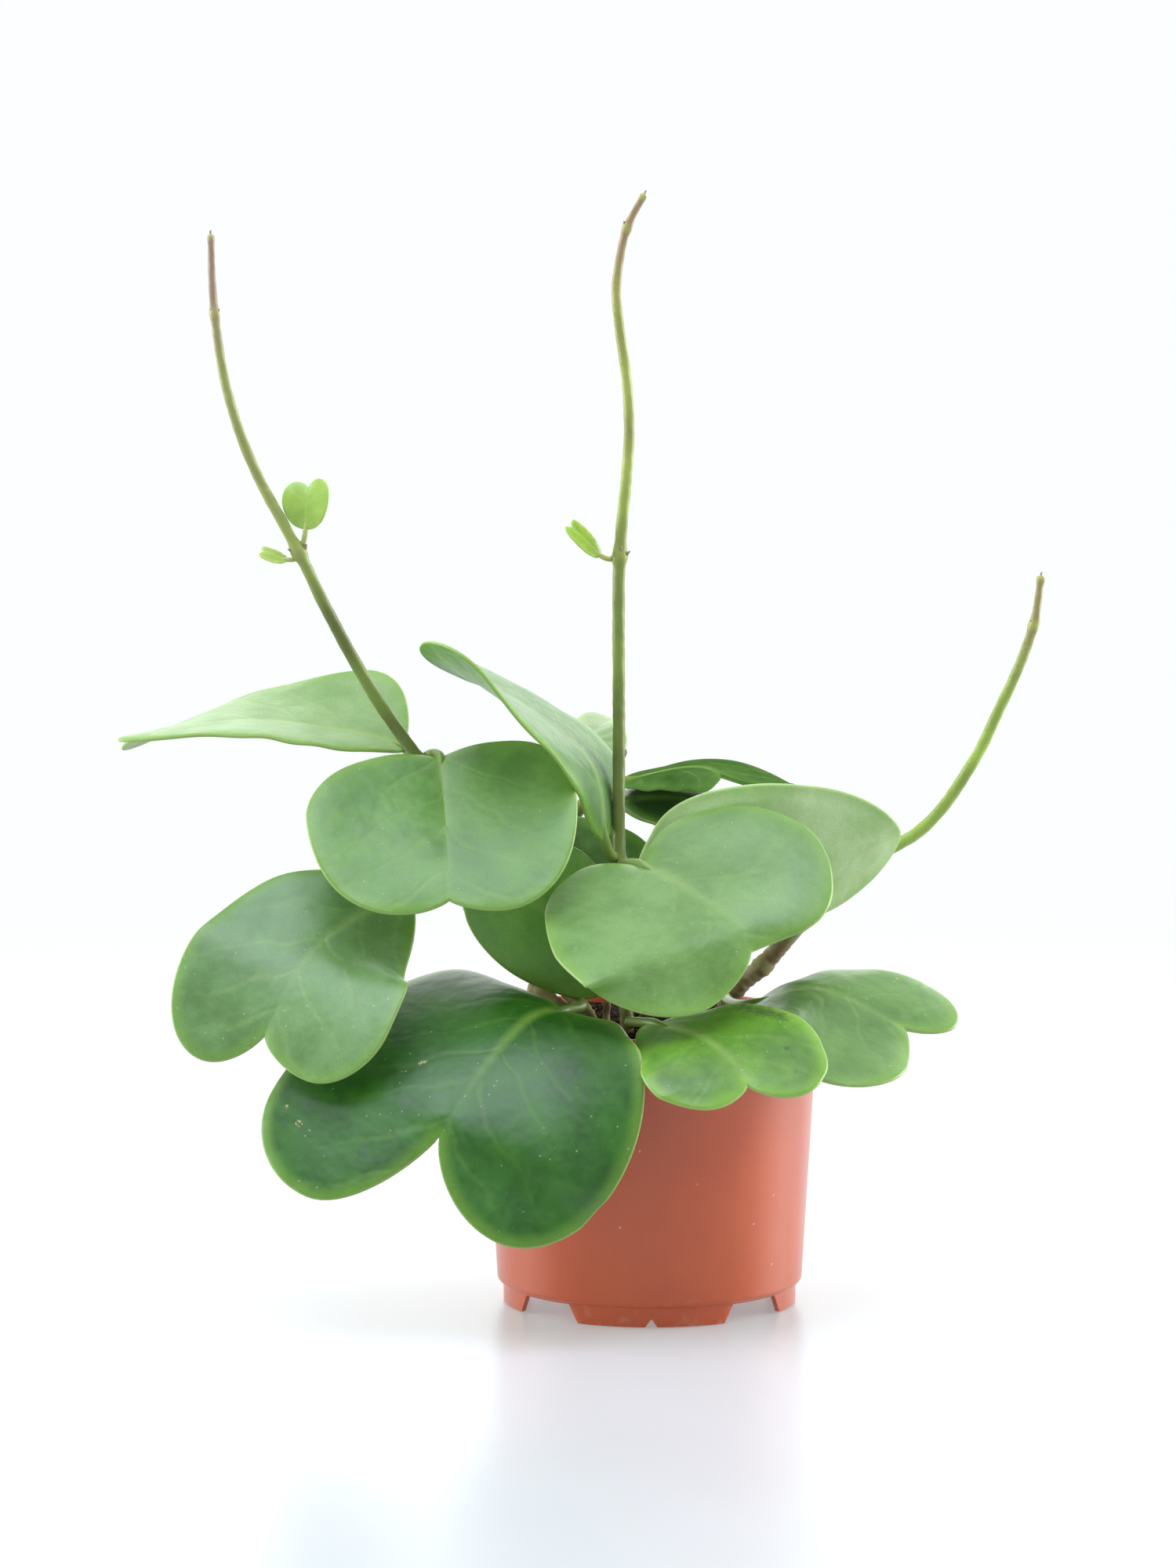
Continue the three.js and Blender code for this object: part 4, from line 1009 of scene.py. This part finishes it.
def buildLeaf(name, spec):
    shape, look = leafShapes[name], leafLooks.get(name, {})
    thin = shape.get("thin", 1)
    young = "thin" in shape
    segments, rings, calm, rimHeight = spec["youngMesh" if young else "grownMesh"]
    dense = smoothLine(shape["midrib"])
    dice = random.Random(name)
    blade, column, level = ballGrid(segments, rings)
    right = halfOutline(shape["right"], shape["notch"], 1, segments // 2)
    left = halfOutline(shape["left"], shape["notch"], -1, segments // 2)
    outline = np.vstack([right, left[1:-1][::-1]])
    middle = np.array([0, shape["notch"] * 0.55])
    rim = outline[column]
    away = np.linalg.norm(rim - middle, axis=1)
    depth = np.minimum(level, rings - level)
    flatLevels = rings // 2 - spec["roundLevels"]
    turned = np.clip((depth - flatLevels) / spec["roundLevels"], 0, 1) * np.pi / 2
    margin = spec["margin"] * thin
    place = np.where(depth <= flatLevels, (depth / flatLevels) ** 0.92 * (1 - margin / away),
                     1 - margin * (1 - np.sin(turned)) / away)
    half = (spec["rimHalf"] + (spec["middleHalf"] - spec["rimHalf"]) * np.cos(np.pi / 2 * place)) * thin
    half = np.where(depth <= flatLevels, half, half * np.cos(turned))
    half[depth == rings // 2] = 0
    flat = middle + (rim - middle) * place[:, None]
    x, y = flat[:, 0], flat[:, 1]
    # true distance to the rim
    fineRim = np.vstack([np.linspace(outline[k], outline[(k + 1) % len(outline)], 4, endpoint=False)
                         for k in range(len(outline))])
    edge = np.array([np.min(np.hypot(fineRim[:, 0] - a, fineRim[:, 1] - b)) for a, b in flat])
    upper = np.where(level * 2 < rings, 1.0, np.where(level * 2 == rings, 0.5, 0.0))
    # form: gentle waves, a drooping margin, a groove along the midrib and a ridge under it
    phase = [dice.uniform(0, 6.3) for _ in range(6)]
    size = shape["notch"]
    wave = (np.sin(x / size * 5.1 + phase[0]) * np.sin(y / size * 4.3 + phase[1])
            + 0.6 * np.sin(x / size * 9.7 + phase[2] + 0.8 * np.sin(y / size * 6 + phase[3])))
    wave = wave * spec["waveHeight"] * calm * thin * np.clip(1 - np.exp(-np.abs(x) / 6), 0, 1)
    around = np.arctan2(y - middle[1], x)
    rimWave = np.exp(-edge / (spec["rimWaveDepth"] * thin)) * np.sin(around * spec["rimWaves"] + phase[4])
    droop = -spec["droop"] * thin * np.clip(1 - edge / (spec["droopWidth"] * thin), 0, 1) ** 2
    fade = np.clip(1 - y / size, 0, 1) ** 0.6 * np.clip(edge / 3, 0, 1)
    # the two halves meet in a rounded valley, not in a crease
    t = np.clip(y / size, 0, 1)
    slope = [0.4 * np.radians(h[4] + (h[5] - h[4]) * t) for h in (shape["left"], shape["right"])]
    soft = spec["foldRound"] * thin
    valley = (slope[0] + slope[1]) / 2 * (np.hypot(x, soft) - np.abs(x)) * np.clip(edge / 10, 0, 1)
    groove, ridge = [spec[form] * thin * fade * np.exp(-(x / (spec[form + "Width"] * thin)) ** 2)
                     for form in ("groove", "ridge")]
    offset = np.where(upper > 0.5, half - groove, -half - ridge)
    offset[depth == rings // 2] = 0
    offset = offset + wave + rimHeight * thin * rimWave + droop + valley
    points = bendLeaf(shape, dense, x, y) + leafNormal(shape, dense, x, y) * offset[:, None]
    setPoints(blade.data, toFrame(points))
    paint(blade.data, "leafPlace", x, y, edge)

    def spots(kind):
        total = np.zeros(len(x))
        for across, along, reach, strength in look.get(kind, []):
            total = np.maximum(total, strength * np.exp(-((x - across) ** 2 + (y - along) ** 2) / reach ** 2))
        return total
    paint(blade.data, "leafMarks", spots("scars"), spots("smudges"), upper)
    paint(blade.data, "leafKind", 0, 0, 0)
    activate(blade)
    bpy.ops.object.shade_smooth()

    # the stalk: from just inside the skin of the vine's joint to inside the blade
    def onLeaf(along):
        a = np.array([0.0]), np.array([float(along)])
        return bendLeaf(shape, dense, *a)[0], leafNormal(shape, dense, *a)[0]
    root = np.array(shape["root"], float)
    base = onLeaf(0)[0] - 0.4 * thin * onLeaf(0)[1]
    inside = onLeaf(spec["stalkInside"] * thin)[0] - 0.4 * thin * onLeaf(spec["stalkInside"] * thin)[1]
    towards = onLeaf(-4 * thin)[0] - onLeaf(0)[1]
    stalkLine = smoothLine([root, towards + (root - towards) * 0.35, base, inside])
    whole = alongLine(stalkLine, np.zeros(1))[2]
    skip = min(shape["joint"] - 0.6, whole * 0.3)
    trimmed = alongLine(stalkLine, np.linspace(skip, whole, 60))[0]
    reach = whole - skip

    def stalkRadius(distance):
        leftOver = reach - distance
        swell = 1 + spec["stalkSwell"] * np.exp(-(distance / (2.6 * thin)) ** 2)
        close = np.sqrt(np.clip(1 - (1 - np.clip(leftOver / (1.2 * thin), 0, 1)) ** 2, 0, 1))
        return spec["petiole"] * thin * np.minimum(1, 0.45 + leftOver / (9 * thin) * 0.55) * swell * close
    rings = max(14, int(reach / spec["stalkRingEvery"]))
    stalk, centre, out, along, _ = tubeAlong(trimmed, stalkRadius, spec["stalkSides"], rings)
    setPoints(stalk.data, toFrame(centre + out))
    t = along / along.max()
    # far from midrib and margin, so that neither shows on the stalk
    paint(stalk.data, "leafPlace", 30, 0, 30)
    paint(stalk.data, "leafMarks", 0, 0, 1)
    paint(stalk.data, "leafKind", np.clip(1.6 - 1.3 * t, 0, 1), np.exp(-t * 5), 0)
    turnFacesOut(stalk)
    bpy.ops.object.shade_smooth()
    letter = name[-1].upper()
    return joinAll([blade, stalk], "youngLeaf" + letter if young else "leaf" + letter)


def leafSkin(name, look, seed):
    # thick waxy hoya leaf: a smooth cuticle with a dull bloom, so that reflections are soft and
    # broad; the flesh is mottled dark and light, its tones carrying painted light and shade leaf by leaf,
    # with sunken yellow-green veins and a pale hard margin that carries a painted highlight
    material, tree = newMaterial(name)
    size = look["size"]
    flat, mark, part = [painted(tree, values) for values in ("leafPlace", "leafMarks", "leafKind")]
    # flat leaf coordinates in millimetres, moved on so that no two leaves share a pattern
    shift = addNode(tree, "CombineXYZ", {"Z": seed * 37.0, "X": (flat, "X"), "Y": (flat, "Y")})
    cloud = noise(tree, shift, 0.055, 3.0, 0.5)
    mottle = noise(tree, shift, 0.22, 5.0, 0.6, 0.6)
    fine = noise(tree, shift, 1.3, 4.0, 0.6)
    mottleSoft = scalar(tree, "MULTIPLY_ADD", mottle, 0.5 * look["mottle"], 0.0)
    blend = scalar(tree, "ADD", mottleSoft, scalar(tree, "MULTIPLY_ADD", cloud, 0.9, -0.12))
    fleshAndPaintedLight = ramp(tree, blend, *zip((0.28, 0.5, 0.8), look["fleshAndPaintedLight"]))
    # side veins: lines that leave the midrib slanting forwards and arch towards the margin
    bentness = noise(tree, shift, 0.05, 1.0)
    sideways = scalar(tree, "ABSOLUTE", (flat, "X"))
    arch = scalar(tree, "POWER", sideways, 0.86)
    slant = scalar(tree, "MULTIPLY_ADD", arch, -1.25, (flat, "Y"))
    wander = scalar(tree, "MULTIPLY_ADD", bentness, 15.0 * size, slant)
    repeat = scalar(tree, "FRACT", scalar(tree, "DIVIDE", wander, 17.0 * size))
    near = scalar(tree, "ABSOLUTE", scalar(tree, "SUBTRACT", repeat, 0.5))
    lineMask = remap(tree, near, (0.13, 0.0), smooth=True)
    out = remap(tree, sideways, (46.0 * size, 6.0 * size))
    patchy = remap(tree, mottle, (0.3, 0.62), (0.3, 1.0))
    lateral = scalar(tree, "MULTIPLY", lineMask, out)
    lateralPatchy = scalar(tree, "MULTIPLY", lateral, patchy)
    # midrib: a soft band, widest at the base
    ribWidth = remap(tree, (flat, "Y"), (0.0, 70.0 * size), (3.2 * size, 1.2 * size))
    rib = remap(tree, scalar(tree, "DIVIDE", sideways, ribWidth), (1.5, 0.0), smooth=True)
    ribFade = remap(tree, (flat, "Y"), (66.0 * size, 8.0 * size),
                    (0.12, look["rib"] / max(look["veins"], 0.2)))
    ribSoft = scalar(tree, "MULTIPLY", rib, ribFade)
    veins = scalar(tree, "MAXIMUM", ribSoft, scalar(tree, "MULTIPLY", lateralPatchy, 0.55))
    veined = mixTones(tree, scalar(tree, "MULTIPLY", veins, look["veins"]), fleshAndPaintedLight, look["vein"])
    # the last millimetres before the margin are lighter and yellower
    bandWide = remap(tree, (flat, "Z"), (6.0 * size, 0.3), (0.0, 0.5), smooth=True)
    banded = mixTones(tree, bandWide, veined, look["band"])
    fineTone = remap(tree, fine, (0.25, 0.75), (0.9, 1.1))
    grained = addNode(tree, "VectorMath", {"operation": "SCALE", 0: banded, "Scale": fineTone})
    # pale pin-prick specks, about 0.4 mm, few to the square centimetre
    prick = addNode(tree, "TexVoronoi", {"Scale": 0.3, "Vector": shift})
    prickSize = remap(tree, (prick, "Distance"), (0.06, 0.13), (1.0, 0.0))
    prickKind = addNode(tree, "SeparateColor", {0: (prick, "Color")})
    pricks = scalar(tree, "MULTIPLY", prickSize, scalar(tree, "GREATER_THAN", (prickKind, 0), 0.72))
    specked = mixTones(tree, scalar(tree, "MULTIPLY", pricks, 0.42), grained, "#b9cda0")
    # dry scars: tan flecks where the skin was rubbed, and dark soot-like smudges
    fleck = noise(tree, shift, 0.75, 6.0, 0.7, 0.5)
    scar = remap(tree, scalar(tree, "MULTIPLY_ADD", (mark, "X"), 0.5, fleck), (0.84, 0.92))
    scarred = mixTones(tree, scar, specked, "#c3b58c")
    smudgeSum = scalar(tree, "MULTIPLY_ADD", (mark, "Y"), 0.5, fleck)
    smudged = mixTones(tree, remap(tree, smudgeSum, (0.72, 0.95), (0.0, 0.7)), scarred, "#26301a")
    # the underside is paler and matt, its veins lighter
    underFlesh = mixTones(tree, cloud, look["under"], look["fleshAndPaintedLight"][1])
    underVein = mixTones(tree, veins, underFlesh, look["underVein"])
    sided = mixTones(tree, (mark, "Z"), underVein, smudged)
    # the hard pale margin, 0.7 mm, drawn paler still as a painted highlight where its thick edge catches the
    # light
    paleMarginAndHighlight = remap(tree, (flat, "Z"), (0.5 * size + 0.1, 0.15 * size), (0.0, 0.5))
    marginAndHighlightColour = mixTones(tree, paleMarginAndHighlight, sided, look["margin"])
    stalkTone = mixTones(tree, (part, "Y"), look["stalk"], look["stalkFoot"])
    colour = mixTones(tree, (part, "X"), marginAndHighlightColour, stalkTone)
    # gloss: cuticle with a dull bloom in soft patches
    bloom = remap(tree, mottle, (0.3, 0.7), (look["gloss"] - 0.05, look["gloss"] + 0.08))
    rough = scalar(tree, "MULTIPLY_ADD", scar, 0.35, bloom)
    # relief: side veins slightly sunken, skin dimpled every few millimetres
    sunk = scalar(tree, "MULTIPLY_ADD", lateral, -0.22, noise(tree, shift, 0.18, 1.0))
    bump = addNode(tree, "Bump", {"Strength": 0.4, "Distance": 0.0009 * size, "Height": sunk})
    return withSkin(material, {
        "IOR": look["ior"], "Coat Weight": look["coat"], "Coat Roughness": 0.32,
        "Specular IOR Level": look["specular"], "Base Color": colour, "Roughness": rough,
        "Normal": bump,
    })


for count, leafName in enumerate(leafShapes):
    isYoung = "thin" in leafShapes[leafName]
    look = {**leafLooks["default"], **(leafLooks["young"] if isYoung else {}), **leafLooks.get(leafName, {})}
    look["size"] = 0.25 if isYoung else 1.0
    leaf = buildLeaf(leafName, bladeSpec)
    title = ("youngHoyaLeafSkin" if isYoung else "waxyHoyaLeafSkin") + leafName[-1].upper()
    finishPiece(leaf, leafSkin(title, look, count + 1), "young_leaf" if isYoung else "leaf", leafName)
faceCount = sum(len(piece.data.polygons) for piece in bpy.data.objects if piece.type == "MESH")
print("scene: leaves", faceCount, "faces in the scene")


bpy.context.view_layer.update()
print("scene: done")
